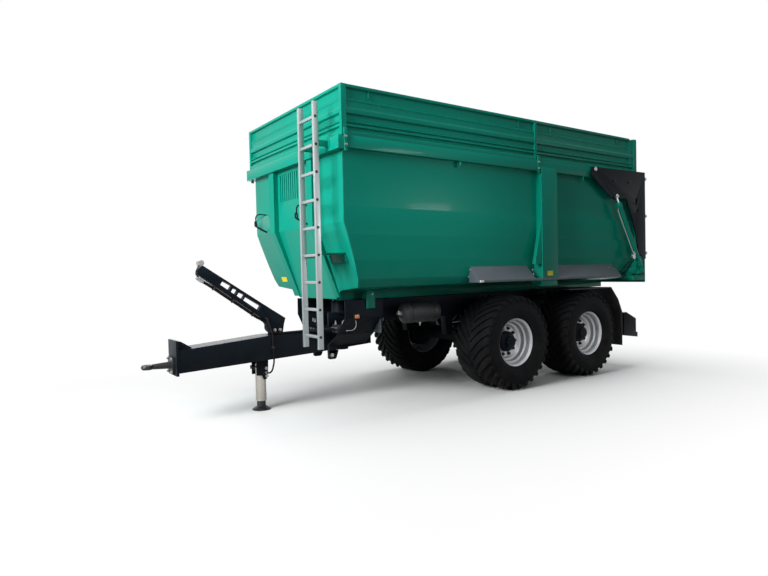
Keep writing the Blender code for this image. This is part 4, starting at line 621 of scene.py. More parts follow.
# %% Nuts and the valve stem
# A washer's and a stud's radius, as shares of the nut's
WASHER, STUD = 1.5 / 1.15, 0.45


def hexagon_nut(bm, seat, way, across, tall):
    """A nut on its washer with the end of its stud, standing on a face."""
    way = way.normalized()
    turn = Vector((0, 0, 1)).rotation_difference(way).to_matrix().to_4x4()
    radius = across / math.sqrt(3)
    # Each disc: sides, radius at its foot and its top, start and depth along the stud
    discs = (
        (16, radius * WASHER, radius * WASHER, -0.001, tall * 0.16 + 0.001),
        (6, radius, radius, tall * 0.16, tall * 0.74),
        (6, radius, radius * 0.86, tall * 0.9, tall * 0.1),
        (10, radius * STUD, radius * STUD * 0.9, tall * 0.8, tall * 0.55),
    )
    for sides, foot, top, start, depth in discs:
        bmesh.ops.create_cone(
            bm, cap_ends=True, segments=sides, radius1=foot, radius2=top, depth=depth,
            matrix=Matrix.Translation(seat + way * (start + depth / 2)) @ turn,
        )


def wheel_nuts():
    bm = bmesh.new()
    for count, ring, along, shift, across, tall in NUT_RINGS:
        for number in range(count):
            turn = math.tau * (number + shift) / count
            seat = Vector((ring * math.sin(turn), along, ring * math.cos(turn)))
            hexagon_nut(bm, seat, OUT, across, tall)
    return bm


def valve_stem():
    bm = bmesh.new()
    place = Matrix.Translation(STEM_AT) @ Matrix.Rotation(STEM_TILT, 4, "X")
    bmesh.ops.create_cone(
        bm, cap_ends=True, segments=12, radius1=0.007, radius2=0.0045, depth=0.05, matrix=place,
    )
    return bm


# %% Four wheels
def placed(bm, centre, side):
    """Moves a wheel's part from the origin to its axle end, with its outer side outwards."""
    if side < 0:
        bmesh.ops.rotate(bm, cent=(0, 0, 0), matrix=Matrix.Rotation(math.pi, 3, "Z"), verts=bm.verts)
    bmesh.ops.translate(bm, vec=centre, verts=bm.verts)
    return bm


for end in ("front", "rear"):
    for side, side_name in SIDES:
        wheel = end + "_" + side_name
        tyre, rim = "tyre_" + wheel, "rim_" + wheel
        # Each part: name, shape, finish, the solids that it stands for, crease angle
        parts = (
            ("tyre_shown_" + wheel, tyre_shape(), tyre_rubber, (tyre,), 30),
            ("rim_shown_" + wheel, turned(RIM_PROFILE, RIM_STEPS, True), silver, (rim,), 40),
            ("hub_" + wheel, turned(HUB_PROFILE, HUB_STEPS), dark, (), 38),
            ("wheel_nuts_" + wheel, wheel_nuts(), black, (), 38),
            ("valve_stem_" + wheel, valve_stem(), plastic, (), 38),
        )
        low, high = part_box("tyre_" + wheel)
        for name, bm, finish, stands_for, crease in parts:
            show(name, placed(bm, (low + high) / 2, side), finish, "wheel_" + wheel, stands_for, crease)

# %% [markdown]
# ## Hoses as curves
#
# A hydraulic hose is a smooth tube of one thickness. A curve with a round bevel gives it, through
# a few points that it really passes: its fitting, its clamps, its bend. The curve is made a mesh,
# so that it can take a crease angle and be joined with the other hoses of its piece.

# %% Tubes along a route
def tube(points, radius, sides=10, steps=6):
    """A bmesh of a round tube on a smooth curve through the points."""
    curve = bpy.data.curves.new("route", "CURVE")
    curve.dimensions = "3D"
    curve.bevel_depth = radius
    curve.bevel_resolution = max(0, sides // 4 - 1)
    curve.use_fill_caps = True
    curve.resolution_u = steps
    line = curve.splines.new("BEZIER")
    line.bezier_points.add(len(points) - 1)
    for knot, point in zip(line.bezier_points, points):
        knot.co = point
        knot.handle_left_type = knot.handle_right_type = "AUTO"
    holder = bpy.data.objects.new("route", curve)
    bpy.context.scene.collection.objects.link(holder)
    bpy.context.view_layer.update()
    mesh = bpy.data.meshes.new_from_object(holder.evaluated_get(bpy.context.evaluated_depsgraph_get()))
    bm = bmesh.new()
    bm.from_mesh(mesh)
    bpy.data.objects.remove(holder)
    bpy.data.curves.remove(curve)
    bpy.data.meshes.remove(mesh)
    bmesh.ops.recalc_face_normals(bm, faces=bm.faces)
    return bm


ROUND, HEXAGON = 16, 6


def bar(bm, start, end, radius, sides=ROUND, end_radius=None):
    """A round bar between two points."""
    turn = Vector((0, 0, 1)).rotation_difference(end - start).to_matrix().to_4x4()
    bmesh.ops.create_cone(
        bm, cap_ends=True, segments=sides, radius1=radius, radius2=end_radius or radius,
        depth=(end - start).length, matrix=Matrix.Translation((start + end) / 2) @ turn,
    )


def bars(rows):
    """Round bars, each from a row of start, end, radius and number of sides."""
    bm = bmesh.new()
    for start, end, radius, sides in rows:
        bar(bm, at(*start), at(*end), radius, sides)
    return bm


def block(bm, low, high, round_edge=0.0):
    """A block between two corners, with its edges rounded."""
    low, high = Vector(low), Vector(high)
    part = bmesh.new()
    bmesh.ops.create_cube(part, size=1.0)
    bmesh.ops.scale(part, vec=high - low, verts=part.verts)
    if round_edge:
        bmesh.ops.bevel(
            part, geom=part.edges[:], offset=round_edge, offset_type="OFFSET", affect="EDGES", segments=2,
            profile=0.5, material=-1,
        )
    bmesh.ops.translate(part, vec=(low + high) / 2, verts=part.verts)
    join(bm, part)


def blocks(rows):
    """Blocks, each from a row of low corner, high corner and rounded edge."""
    bm = bmesh.new()
    for low, high, round_edge in rows:
        block(bm, at(*low), at(*high), round_edge)
    return bm


# %% [markdown]
# ## Ladder
#
# The ladder is drawn aluminium: two hollow rails and nine rungs pressed through them, each closed
# by a round black plug. Blocks with a small round on every edge give the section. The welded
# brackets that hold it to the trough are green, so they are a piece of their own.

# %% Ladder sizes
TUB = body_of["tub_front"]
LADDER_X = 3.40
LADDER_LOW, LADDER_HIGH = 0.74, 3.23
RAIL_YS = (0.65, 0.97)
RAIL_DEEP, RAIL_HALF = 0.03, 0.014
RUNG_HALF = 0.015
RUNG_ZS = [0.865 + 0.277 * number for number in range(9)]
PLUG, PLUG_END, PLUG_PROUD = 0.0155, 0.0145, 0.003
# The upper holders and the shelf below, which leans on the wall's lower fold
HOLDER_ROOT = 3.2605
SHELF_TOP, SHELF_REACH = 1.72, 3.375
FOLD_Z, SLOPE = 2.03, 0.34
print("ladder", round(LADDER_HIGH - LADDER_LOW, 2), "m tall with", len(RUNG_ZS), "rungs")

# %% Ladder
def ladder_rails():
    rows = []
    for y in RAIL_YS:
        low = (LADDER_X - RAIL_DEEP, y - RAIL_HALF, LADDER_LOW)
        rows.append((low, (LADDER_X + RAIL_DEEP, y + RAIL_HALF, LADDER_HIGH), 0.004))
    start, end = RAIL_YS[0] + RAIL_HALF - 0.002, RAIL_YS[1] - RAIL_HALF + 0.002
    for z in RUNG_ZS:
        low = (LADDER_X - RUNG_HALF, start, z - RUNG_HALF)
        rows.append((low, (LADDER_X + RUNG_HALF, end, z + RUNG_HALF), 0.005))
    return blocks(rows)


def ladder_plugs():
    bm = bmesh.new()
    # Both ends of a rung: x, the rail's outer face, the way it looks
    ends = ((LADDER_X + 0.004, RAIL_YS[1] + RAIL_HALF, 1), (LADDER_X, RAIL_YS[0] - RAIL_HALF, -1))
    for z in RUNG_ZS:
        for x, y, way in ends:
            start, end = at(x, y - way * 0.001, z), at(x, y + way * PLUG_PROUD, z)
            bar(bm, start, end, PLUG, end_radius=PLUG_END)
    return bm


def leaning(bm, middle):
    """Leans a mesh back with the front wall's lower fold, about a height."""
    for vert in bm.verts:
        vert.co.x += (vert.co.z - middle) * SLOPE
    return bm


def ladder_brackets():
    rows = []
    for y in RAIL_YS:
        rows += [
            ((HOLDER_ROOT, y - 0.012, 2.79), (SHELF_REACH, y + 0.012, 2.85), 0.002),
            ((HOLDER_ROOT, y - 0.035, 2.782), (HOLDER_ROOT + 0.006, y + 0.035, 2.858), 0.002),
            ((LADDER_X - 0.034, y - 0.019, 2.784), (LADDER_X + 0.033, y - 0.0145, 2.856), 0.001),
        ]
    wall_x = FRONT_FACE - (FOLD_Z - SHELF_TOP) * SLOPE
    low, high = RAIL_YS[0] - 0.05, RAIL_YS[1] - 0.02
    rows += [
        ((wall_x + 0.002, low, SHELF_TOP - 0.012), (SHELF_REACH, high, SHELF_TOP), 0.002),
        ((SHELF_REACH - 0.012, low, SHELF_TOP - 0.05), (SHELF_REACH, high, SHELF_TOP - 0.002), 0.002),
    ]
    flange = ((wall_x + 0.001, low, SHELF_TOP - 0.10), (wall_x + 0.012, high, SHELF_TOP - 0.002), 0.002)
    bm = blocks(rows)
    join(bm, leaning(blocks([flange]), SHELF_TOP))
    return bm


show("ladder_rails", ladder_rails(), aluminium, TUB, ("ladder",))
show("ladder_brackets", ladder_brackets(), green, TUB, ("ladder",))
show("ladder_plugs", ladder_plugs(), plastic, TUB)

# %% [markdown]
# ## Grab handles
#
# Each handle is two lengths of round bar, bent and welded to the front wall: an upper one that
# comes down as the grip, and a lower one that passes under it and ends in an upturned hook. A tube
# on a smooth route gives the bends that the real bar has.

# %% Handles
GRIP_X = FRONT_FACE + 0.085
# Where each handle's grip is across the wall
GRIP_YS = (-0.90, 0.255)
# Each bar: its radius, and its points as reach ahead of the grip, place beside it, height
HANDLE_BARS = (
    (0.008, ((-0.089, 0.115, 2.268), (-0.02, 0.02, 2.278), (0.0, 0.0, 2.268), (0.0, -0.003, 2.135))),
    (0.0115, (
        (-0.089, 0.115, 2.045), (-0.01, 0.0, 2.118), (0.002, -0.045, 2.142), (0.0, -0.057, 2.16),
        (-0.003, -0.06, 2.2),
    )),
)

bm = bmesh.new()
for y in GRIP_YS:
    for radius, route in HANDLE_BARS:
        join(bm, tube([at(GRIP_X + ahead, y + beside, z) for ahead, beside, z in route], radius))
show("grab_handles", bm, dark, TUB, crease=50)

# %% [markdown]
# ## Hoses of the drawbar
#
# Three hydraulic hoses leave the valve block in the cradle, cross to the beam's left side, run
# along its top and turn up under the hose arm to their couplings. They pass the same places as
# their solid does, because that route was given point by point. Ferrules and couplings are plated
# steel, the clips are plastic, and each is a piece of its own.

# %% Sizes of the hose arm
CHASSIS = body_of["drawbar"]
# The arm's lower edge: where it starts, how steeply it rises, its two directions
ARM_START = Vector((3.542, 0.0, 0.973))
ARM_RISE = math.radians(35.3)
ARM_AHEAD = Vector((math.cos(ARM_RISE), 0.0, math.sin(ARM_RISE)))
ARM_UP = Vector((-math.sin(ARM_RISE), 0.0, math.cos(ARM_RISE)))
HOSE, HOSE_GAP = 0.0125, 0.024
HOSE_NUMBERS = (-1, 0, 1)
PORT_X, PORT_Y, PORT_Z, PORT_GAP = 2.822, 0.28, 0.866, 0.035
BEAM_SIDE = 0.064
# Collars on a hose's end: from, to, how much wider than the hose, number of sides
COUPLING = ((0.0, 0.035, 0.003, ROUND), (0.03, 0.052, 0.005, HEXAGON), (0.05, 0.075, 0.001, ROUND))
FERRULE = ((0.0, 0.04, 0.003, ROUND), (0.0, 0.016, 0.007, HEXAGON))
COUPLING_RUN, CLIP_RUNS, CAP_RUN = 0.865, (0.20, 0.48, 0.73), 0.925
CLIP_LONG, CLIP_WIDE, CLIP_DEEP = 0.022, 2 * HOSE_GAP + 0.032, 0.032
HEAD_X, HEAD_Z = 4.285, 1.648
print("hose arm rises", round(math.degrees(ARM_RISE), 1), "degrees")


def on_arm(run, y, rise):
    """A place by its distance along the hose arm's lower edge, and its height above that edge."""
    spot = ARM_START + ARM_AHEAD * run + ARM_UP * rise
    return at(spot.x, y, spot.z)


# %% Routes of the three hoses
def port(number):
    """Where a hose leaves the valve block."""
    return at(PORT_X, PORT_Y + number * PORT_GAP, PORT_Z)


def arm_hose(number):
    y = number * HOSE_GAP
    beside = BEAM_SIDE + (number + 1) * HOSE_GAP
    under = -0.004 - HOSE
    route = [
        port(number), port(number) + AHEAD * 0.058, at(3.0, 0.22 + number * 0.03, PORT_Z),
        at(3.16, beside + 0.01, 0.848), at(3.3, beside, 0.846), at(3.46, beside - 0.004, 0.847),
        at(3.535, beside - 0.005, 0.862), at(3.575, (beside + y) / 2, 0.90), at(3.568, y, 0.965),
    ]
    route += [on_arm(run, y, under - 0.006 * math.sin(run * 31) ** 2) for run in (0.15, 0.34, 0.56, 0.76)]
    return route + [on_arm(0.895, y, under - 0.012)]


# %% Hoses, fittings and clips
def arm_hoses():
    bm = bmesh.new()
    for number in HOSE_NUMBERS:
        join(bm, tube(arm_hose(number), HOSE, 12, 5))
    return bm


def collars(bm, start, way, rows):
    for near, far, wider, sides in rows:
        bar(bm, start + way * near, start + way * far, HOSE + wider, sides)


def hose_fittings():
    """A coupling at the arm's tip and a ferrule at the valve block on each hose."""
    bm = bmesh.new()
    for number in HOSE_NUMBERS:
        collars(bm, on_arm(COUPLING_RUN, number * HOSE_GAP, -0.029), ARM_AHEAD, COUPLING)
        collars(bm, port(number), AHEAD, FERRULE)
    return bm


def hose_clips():
    bm = bmesh.new()
    for run in CLIP_RUNS:
        clip = bmesh.new()
        block(clip, (-CLIP_LONG / 2, -CLIP_WIDE / 2, -CLIP_DEEP), (CLIP_LONG / 2, CLIP_WIDE / 2, 0.0), 0.003)
        place = Matrix.Translation(on_arm(run, 0.0, -0.0003)) @ Matrix.Rotation(-ARM_RISE, 4, "Y")
        bmesh.ops.transform(clip, matrix=place, verts=clip.verts)
        join(bm, clip)
        hexagon_nut(bm, on_arm(run, 0.0, -CLIP_DEEP), -ARM_UP, 0.017, 0.011)
    return bm


def arm_head():
    """The rack at the arm's tip, where the couplings hang when the trailer is parked."""
    bm = bars([((HEAD_X, -0.04, HEAD_Z), (HEAD_X, 0.04, HEAD_Z), 0.031, 24)])
    for side, _ in SIDES:
        bar(bm, at(HEAD_X, side * 0.038, HEAD_Z), at(HEAD_X, side * 0.048, HEAD_Z), 0.022, HEXAGON)
    block(bm, at(4.262, -0.014, 1.60), at(4.302, 0.014, 1.65), 0.003)
    return bm


def cap_cords():
    """Thin cords that tie each coupling's dust cap to the rack."""
    bm = bmesh.new()
    for number in HOSE_NUMBERS:
        y = number * HOSE_GAP
        cap = on_arm(CAP_RUN, y, -0.02)
        route = (cap, cap + Vector((0.022, 0.004, 0.05)), at(4.306, y, 1.61), at(4.298, y, 1.632))
        join(bm, tube(route, 0.003, 8, 4))
    return bm


show("arm_hoses_shown", arm_hoses(), hose_rubber, CHASSIS, ("arm_hoses",), 50)
show("hose_fittings", hose_fittings(), steel, CHASSIS)
show("hose_clips", hose_clips(), plastic, CHASSIS)
show("arm_head", arm_head(), steel, CHASSIS)
show("cap_cords", cap_cords(), plastic, CHASSIS, crease=50)

# %% Jack hose
JACK_HOSE = 0.0095
JACK_ROUTE = (
    (3.575, 0.036, 1.02), (3.575, 0.062, 1.02), (3.57, 0.11, 0.95), (3.556, 0.158, 0.84), (3.55, 0.152, 0.72),
    (3.545, 0.152, 0.60), (3.548, 0.14, 0.50), (3.58, 0.118, 0.42), (3.612, 0.098, 0.42),
)
# Fittings at the hose's foot and its top: start, end, radius, number of sides
JACK_ELBOW = (
    ((3.615, 0.0755, 0.42), (3.615, 0.1015, 0.42), 0.012, HEXAGON),
    ((3.617, 0.0935, 0.42), (3.591, 0.1015, 0.42), 0.0115, ROUND),
)
JACK_TOP = (
    ((3.575, 0.0355, 1.02), (3.575, 0.0495, 1.02), 0.014, HEXAGON),
    ((3.575, 0.0455, 1.02), (3.575, 0.0715, 1.016), 0.0115, ROUND),
)
JACK_CLIP = ((3.534, 0.1403, 0.69), (3.566, 0.1645, 0.712), 0.002)

bm = tube([at(*point) for point in JACK_ROUTE], JACK_HOSE, 12, 5)
show("jack_hose_shown", bm, hose_rubber, CHASSIS, ("jack_hose",), 50)
show("jack_hose_ends", bars(JACK_ELBOW), steel, CHASSIS)
bm = bars(JACK_TOP)
join(bm, blocks([JACK_CLIP]))
show("jack_hose_clips", bm, plastic, CHASSIS)

# %% [markdown]
# ## Lamps, reflectors and labels
#
# A rear lamp is a black housing with a red lens, and an amber field for the turn signal at its
# outer end. Side markers are amber blocks and front reflectors are white. Blocks from one table
# make them all, and what sits on both sides is mirrored. The yellow labels stay blank.

# %% Rear lamps
LAMP_REAR, LAMP_FRONT = -1.905, -1.8703
NEAR, FAR = 0.83, 1.13
LAMP_LOW, LAMP_HIGH = 0.56, 0.70
BEZEL = 0.008
AMBER_START = FAR - 0.10


def mirror_pair(bm, side):
    """The shape itself for the left side, or its mirror image for the right."""
    if side > 0:
        return bm
    other = mirrored(bm)
    bm.free()
    return other


def lens_row(start, end):
    """A lens between the housing's lips, from one place to another across the trailer."""
    return (LAMP_REAR, start, LAMP_LOW + 0.009), (LAMP_REAR + 0.02, end, LAMP_HIGH - 0.009), 0.005


# Each part of a lamp: name, finish, blocks
LAMP_PARTS = (
    ("housing", plastic, (
        ((LAMP_REAR + 0.012, NEAR, LAMP_LOW), (LAMP_FRONT, FAR, LAMP_HIGH), 0.004),
        ((LAMP_REAR + 0.002, NEAR, LAMP_LOW), (LAMP_FRONT, FAR, LAMP_LOW + BEZEL), 0.002),
        ((LAMP_REAR + 0.002, NEAR, LAMP_HIGH - BEZEL), (LAMP_FRONT, FAR, LAMP_HIGH), 0.002),
    )),
    ("red", red, (lens_row(NEAR + 0.006, AMBER_START),)),
    ("amber", amber, (lens_row(AMBER_START + 0.002, FAR - 0.006),)),
)
for side, side_name in SIDES:
    lamp = "rear_lamp_" + side_name
    for part, finish, rows in LAMP_PARTS:
        show(lamp + "_" + part, mirror_pair(blocks(rows), side), finish, CHASSIS, (lamp,))

# %% Markers, reflectors and labels
# On both sides: name, finish, body, low corner, high corner, rounded edge
SIGNALS = (
    ("side_markers", amber, CHASSIS, (2.702, 0.60, 0.993), (2.762, 0.6185, 1.037), 0.006),
    ("chassis_reflectors", white, CHASSIS, (2.275, 0.469, 0.934), (2.355, 0.4745, 0.967), 0.002),
    ("deflector_reflectors", white, TUB, (1.33, 1.204, 1.3605), (1.397, 1.2095, 1.386), 0.002),
)
CHASSIS_LABEL = ((2.288, 0.4698, 1.047), (2.352, 0.4708, 1.145), 0.0)
POST_LABEL = ((0.075, 1.1995, 1.415), (0.18, 1.2006, 1.475), 0.0)
LABEL_LOW, LABEL_MIDDLE, LABEL_HIGH = 1.415, 1.445, 1.475
LABEL_X = FRONT_FACE - (FOLD_Z - LABEL_MIDDLE) * SLOPE
FRONT_LABEL = ((LABEL_X - 0.0005, -0.80, LABEL_LOW), (LABEL_X + 0.0011, -0.655, LABEL_HIGH), 0.0)


def both_sides(bm):
    """A shape and its mirror image on the other side, in one mesh."""
    join(bm, mirrored(bm))
    return bm


for name, finish, body, low, high, round_edge in SIGNALS:
    show(name, both_sides(blocks([(low, high, round_edge)])), finish, body)
show("chassis_label", blocks([CHASSIS_LABEL]), yellow, CHASSIS)
bm = blocks([POST_LABEL])
join(bm, leaning(blocks([FRONT_LABEL]), LABEL_MIDDLE))
show("tub_labels", bm, yellow, TUB)

# %% [markdown]
# ## Bolts
#
# A machine shows how it is held together. Each table names the place of a bolt's seat, the way it
# looks, and its width across flats; one nut with its washer and stud is put at each. Cones with a
# few sides make them, and the small chamfer on top is what tells a nut from a peg.

# %% Bolts
BRACKET_FACE = 1.191
NOSE_X = DEFLECTOR_FRONT + NOSE
BRACKET_XS, BRACKET_ZS = (3.171, 3.189, 0.297, 0.314), (2.868, 2.787)
# Each nut: its seat, the way it looks, its width across flats
TUB_NUTS = [((x, BRACKET_FACE, z), OUT, 0.013) for x in BRACKET_XS for z in BRACKET_ZS] + [
    ((0.44, 1.171, 1.497), OUT, 0.015), ((0.44, 1.186, 1.44), OUT, 0.015), ((-1.30, 1.10, 1.503), OUT, 0.015),
    ((NOSE_X, 1.055, 1.512), AHEAD, 0.018), ((NOSE_X, 1.03, 1.43), AHEAD, 0.018),
]
ARM_FOOT_NUTS = [((x, 0.0355, 0.88), OUT, 0.026) for x in (3.471, 3.408)]
HEAD_NUTS = [((4.6253, 0.062, z), AHEAD, 0.024) for z in (0.54, 0.672)]
LUG_NUTS = [((2.83, 0.2003, 0.548), OUT, 0.032)]
ARM_NUTS = [((-1.293, 1.206, 2.737), OUT, 0.024), ((-1.659, 1.206, 2.741), OUT, 0.024)]
NUT_HEIGHT = 0.6


def nuts(rows):
    bm = bmesh.new()
    for seat, way, across in rows:
        hexagon_nut(bm, at(*seat), way, across, across * NUT_HEIGHT)
    return both_sides(bm)


show("tub_nuts", nuts(TUB_NUTS), steel, TUB)
show("chassis_nuts", nuts(ARM_FOOT_NUTS), steel, CHASSIS)
show("flange_nuts", nuts(HEAD_NUTS), steel, CHASSIS)

# %% [markdown]
# ## Hardware of the tailgate
#
# Knobs and a latch claw stand behind the gate on each side, with small bolts between them. The gate
# turns on a plated pin, and another holds the eye of each cylinder's rod. The claw is cut from flat
# plate, so an outline is extruded; the knobs are turned, so a bar and a ball are enough.

# %% Gate sizes
GATE = body_of["tailgate_panel"]
GATE_REAR = -2.071
KNOB_Y, KNOB_X, KNOB = 1.15, -2.155, 0.03
KNOB_ZS = (2.83, 2.27, 1.71)
BOLT_ZS = (2.63, 2.385, 2.145, 1.90, 1.66)
# The claw's outline: x, height
CLAW = (
    (-2.06, 1.476), (-2.126, 1.481), (-2.157, 1.451), (-2.157, 1.374), (-2.132, 1.374), (-2.13, 1.424),
    (-2.115, 1.439), (-2.06, 1.434),
)
CLAW_IN, CLAW_OUT = KNOB_Y - 0.0465, KNOB_Y - 0.0185
# The rod eye's pin and its keeper; the pin that the gate turns on, and its slot
ROD_PIN = ((-1.295, 1.2482, 2.515), (-1.295, 1.256, 2.515), 0.024, ROUND)
ROD_KEEPER = ((-1.33, 1.252, 2.508), (-1.26, 1.2575, 2.522), 0.002)
HINGE_PIN = ((-0.85, 1.207, 2.87), (-0.85, 1.217, 2.87))
HINGE_SLOT = ((-0.856, 1.2165, 2.852), (-0.844, 1.2185, 2.888), 0.001)
print("gate", len(KNOB_ZS), "knobs and", len(BOLT_ZS), "bolts a side")

# %% Knobs, claws, bolts and pins
def plate(outline, low_y, high_y):
    """A flat plate cut to an outline in X and Z, from one Y to another."""
    bm = bmesh.new()
    face = bm.faces.new([bm.verts.new(at(x, low_y, z)) for x, z in outline])
    grown = bmesh.ops.extrude_face_region(bm, geom=[face])["geom"]
    moved = [item for item in grown if isinstance(item, bmesh.types.BMVert)]
    bmesh.ops.translate(bm, verts=moved, vec=(0, high_y - low_y, 0))
    bmesh.ops.recalc_face_normals(bm, faces=bm.faces)
    return bm


def gate_knobs():
    bm = bmesh.new()
    for z in KNOB_ZS:
        bar(bm, at(GATE_REAR + 0.004, KNOB_Y, z), at(KNOB_X + 0.005, KNOB_Y, z), 0.0135)
        place = Matrix.Translation(at(KNOB_X, KNOB_Y, z)) @ Matrix.Diagonal((0.85, 1.0, 1.0, 1.0))
        bmesh.ops.create_uvsphere(bm, u_segments=20, v_segments=12, radius=KNOB, matrix=place)
    return bm


def gate_bolts():
    bm = bmesh.new()
    for z in BOLT_ZS:
        hexagon_nut(bm, at(GATE_REAR, KNOB_Y + 0.015, z), BACK, 0.022, 0.013)
    hexagon_nut(bm, at(-2.118, CLAW_OUT, 1.458), OUT, 0.02, 0.012)
    join(bm, bars([ROD_PIN]))
    join(bm, blocks([ROD_KEEPER]))
    return bm


def pivot_caps():
    """The turned head of the gate's pivot pin, with its screwdriver slot."""
    start, end = HINGE_PIN
    bm = blocks([HINGE_SLOT])
    bar(bm, at(*start), at(*end), 0.03, 28, end_radius=0.028)
    return bm


show("gate_knobs", both_sides(gate_knobs()), steel, GATE, crease=45)
show("gate_claws", both_sides(plate(CLAW, CLAW_IN, CLAW_OUT)), black, GATE)
show("gate_bolts", both_sides(gate_bolts()), steel, GATE)
show("arm_bolts", nuts(ARM_NUTS), black, GATE)
show("pivot_caps", both_sides(pivot_caps()), steel, TUB)

# %% [markdown]
# ## Hoses of the gate's cylinders
#
# Two short hoses join each cylinder's valve block to the trough. The cylinder swings a few degrees
# as the gate opens. A hose that rode on one of the two would tear off the other, so these hoses
# ride on neither body and stay where they are drawn.

# %% Gate hoses
GATE_HOSES = (
    (
        (-1.712, 1.226, 1.63), (-1.70, 1.222, 1.585), (-1.655, 1.205, 1.53), (-1.65, 1.16, 1.46),
        (-1.69, 1.03, 1.40),
    ),
    (
        (-1.694, 1.22, 1.63), (-1.66, 1.216, 1.60), (-1.60, 1.19, 1.55), (-1.585, 1.13, 1.47),
        (-1.61, 1.02, 1.41),
    ),
)
GATE_HOSE = 0.009

for side, side_name in SIDES:
    bm = bmesh.new()
    for route in GATE_HOSES:
        join(bm, tube([at(*point) for point in route], GATE_HOSE, 10, 5))
    hoses = show("gate_hoses_" + side_name, mirror_pair(bm, side), hose_rubber, crease=50)
    at(-1.70, side * 1.22, 1.60)
    at(-1.66, side * 1.15, 1.46)
    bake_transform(hoses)

# %% [markdown]
# ## Small things on the trough
#
# Rope hooks are bent from round bar, and the bars in the extension's top channel hold its cover.
# Both are tubes on a route: a hook's points lie on a circle, and a cover bar's follow its channel.

# %% Hooks and cover bars
HOOK_XS = (1.64, -0.62)
HOOK_Y, HOOK_Z, HOOK_BEND = 1.143, 2.728, 0.034
HOOK_START, HOOK_TURN, HOOK_POINTS = -150, 30, 11
COVER_XS = (2.875, 0.64, 0.036, -1.44)
# A cover bar's route: place across, height
COVER_ROUTE = ((1.166, 3.352), (1.155, 3.345), (1.153, 3.325), (1.155, 3.29), (1.168, 3.28))


def rope_hooks():
    bm = bmesh.new()
    turns = [math.radians(HOOK_START + HOOK_TURN * number) for number in range(HOOK_POINTS)]
    bend = [(HOOK_Y + HOOK_BEND * math.cos(turn), HOOK_Z + HOOK_BEND * math.sin(turn)) for turn in turns]
    for x in HOOK_XS:
        join(bm, tube([at(x, y, z) for y, z in bend], 0.0075, 10, 3))
    return bm


def cover_bars():
    bm = bmesh.new()
    for x in COVER_XS:
        join(bm, tube([at(x, y, z) for y, z in COVER_ROUTE], 0.006, 8, 3))
    return bm


show("rope_hooks", both_sides(rope_hooks()), green, TUB, crease=50)
show("cover_bars", both_sides(cover_bars()), green, TUB, crease=50)

# %% [markdown]
# ## Cradle, tank and jack
#
# The bay round the tipping cylinder holds the valve block with its plated unions. The air tank has
# a plated boss and a drain. The jack's pin and stop bolt are plated, and its lever stands ahead.
# Turned and round parts are rows of one table each, so a fitting is added by adding a row.

# %% Cradle fittings
# The outline of the lugs that carry the drawbar's bolts, under the beam: x, height
LUG_OUTLINE = ((2.868, 0.60), (2.868, 0.512), (2.855, 0.50), (2.79, 0.50), (2.77, 0.515), (2.74, 0.60))
BAY_FACE = 2.38
BAY_PLATE = ((2.372, 0.178, 0.80), (BAY_FACE, 0.568, 1.19), 0.002)
GUARD_ROUTE = (
    (2.865, 0.588, 0.864), (2.845, 0.598, 0.865), (2.785, 0.598, 0.868), (2.748, 0.598, 0.895),
    (2.74, 0.597, 0.96), (2.74, 0.588, 0.972),
)
BLOCK_TOP = 0.909


def bay_plates():
    """The plates that close the bay behind the tipping cylinder, with their bolts."""
    bm = blocks([BAY_PLATE])
    for z in (0.87, 1.12):
        for y in (0.22, 0.53):
            hexagon_nut(bm, at(BAY_FACE, y, z), AHEAD, 0.022, 0.013)
    return bm


def valve_unions():
    """Unions on the valve block's top, each a nut and its neck, and the nuts of its front."""
    rows = []
    for x, y in ((2.68, 0.24), (2.72, 0.30), (2.77, 0.36), (2.80, 0.25)):
        rows.append(((x, y, BLOCK_TOP), (x, y, BLOCK_TOP + 0.021), 0.013, HEXAGON))
        rows.append(((x, y, BLOCK_TOP + 0.021), (x, y, BLOCK_TOP + 0.046), 0.009, ROUND))
    for y in (0.24, 0.31, 0.38):
        rows.append(((PORT_X - 0.002, y, 0.83), (PORT_X + 0.016, y, 0.83), 0.012, HEXAGON))
    return bars(rows)


show("bay_plates", both_sides(bay_plates()), slate, CHASSIS)
show("cradle_lugs", both_sides(plate(LUG_OUTLINE, 0.158, 0.2)), dark, CHASSIS)
show("lug_nuts", nuts(LUG_NUTS), steel, CHASSIS)
show("wire_guard", tube([at(*point) for point in GUARD_ROUTE], 0.005, 8, 5), steel, CHASSIS, crease=50)
show("valve_unions", both_sides(valve_unions()), steel, CHASSIS)

# %% Air tank
TANK_Y, TANK_Z, TANK = 0.67, 1.02, 0.1195
STRAP_XS, STRAP_HALF, STRAP_THICK = (1.72, 2.04), 0.018, 0.004
# The boss with its valve, and the drain: start, end, radius, number of sides
TANK_FITTINGS = (
    ((2.155, TANK_Y, TANK_Z), (2.175, TANK_Y, TANK_Z), 0.03, HEXAGON),
    ((2.172, TANK_Y, TANK_Z), (2.21, TANK_Y, TANK_Z), 0.018, ROUND),
    ((2.195, TANK_Y, TANK_Z), (2.195, TANK_Y, TANK_Z + 0.03), 0.012, ROUND),
    ((1.88, TANK_Y, 0.905), (1.88, TANK_Y, 0.885), 0.014, HEXAGON),
    ((1.88, TANK_Y, 0.89), (1.88, TANK_Y, 0.86), 0.008, ROUND),
)
RING_STEPS = 40


def ring(low, high, inner, outer, place):
    """A turned ring between two places along its axle and two radii, then put in its place."""
    bm = turned(((low, inner), (low, outer), (high, outer), (high, inner)), RING_STEPS, True)
    bmesh.ops.transform(bm, matrix=place, verts=bm.verts)
    return bm


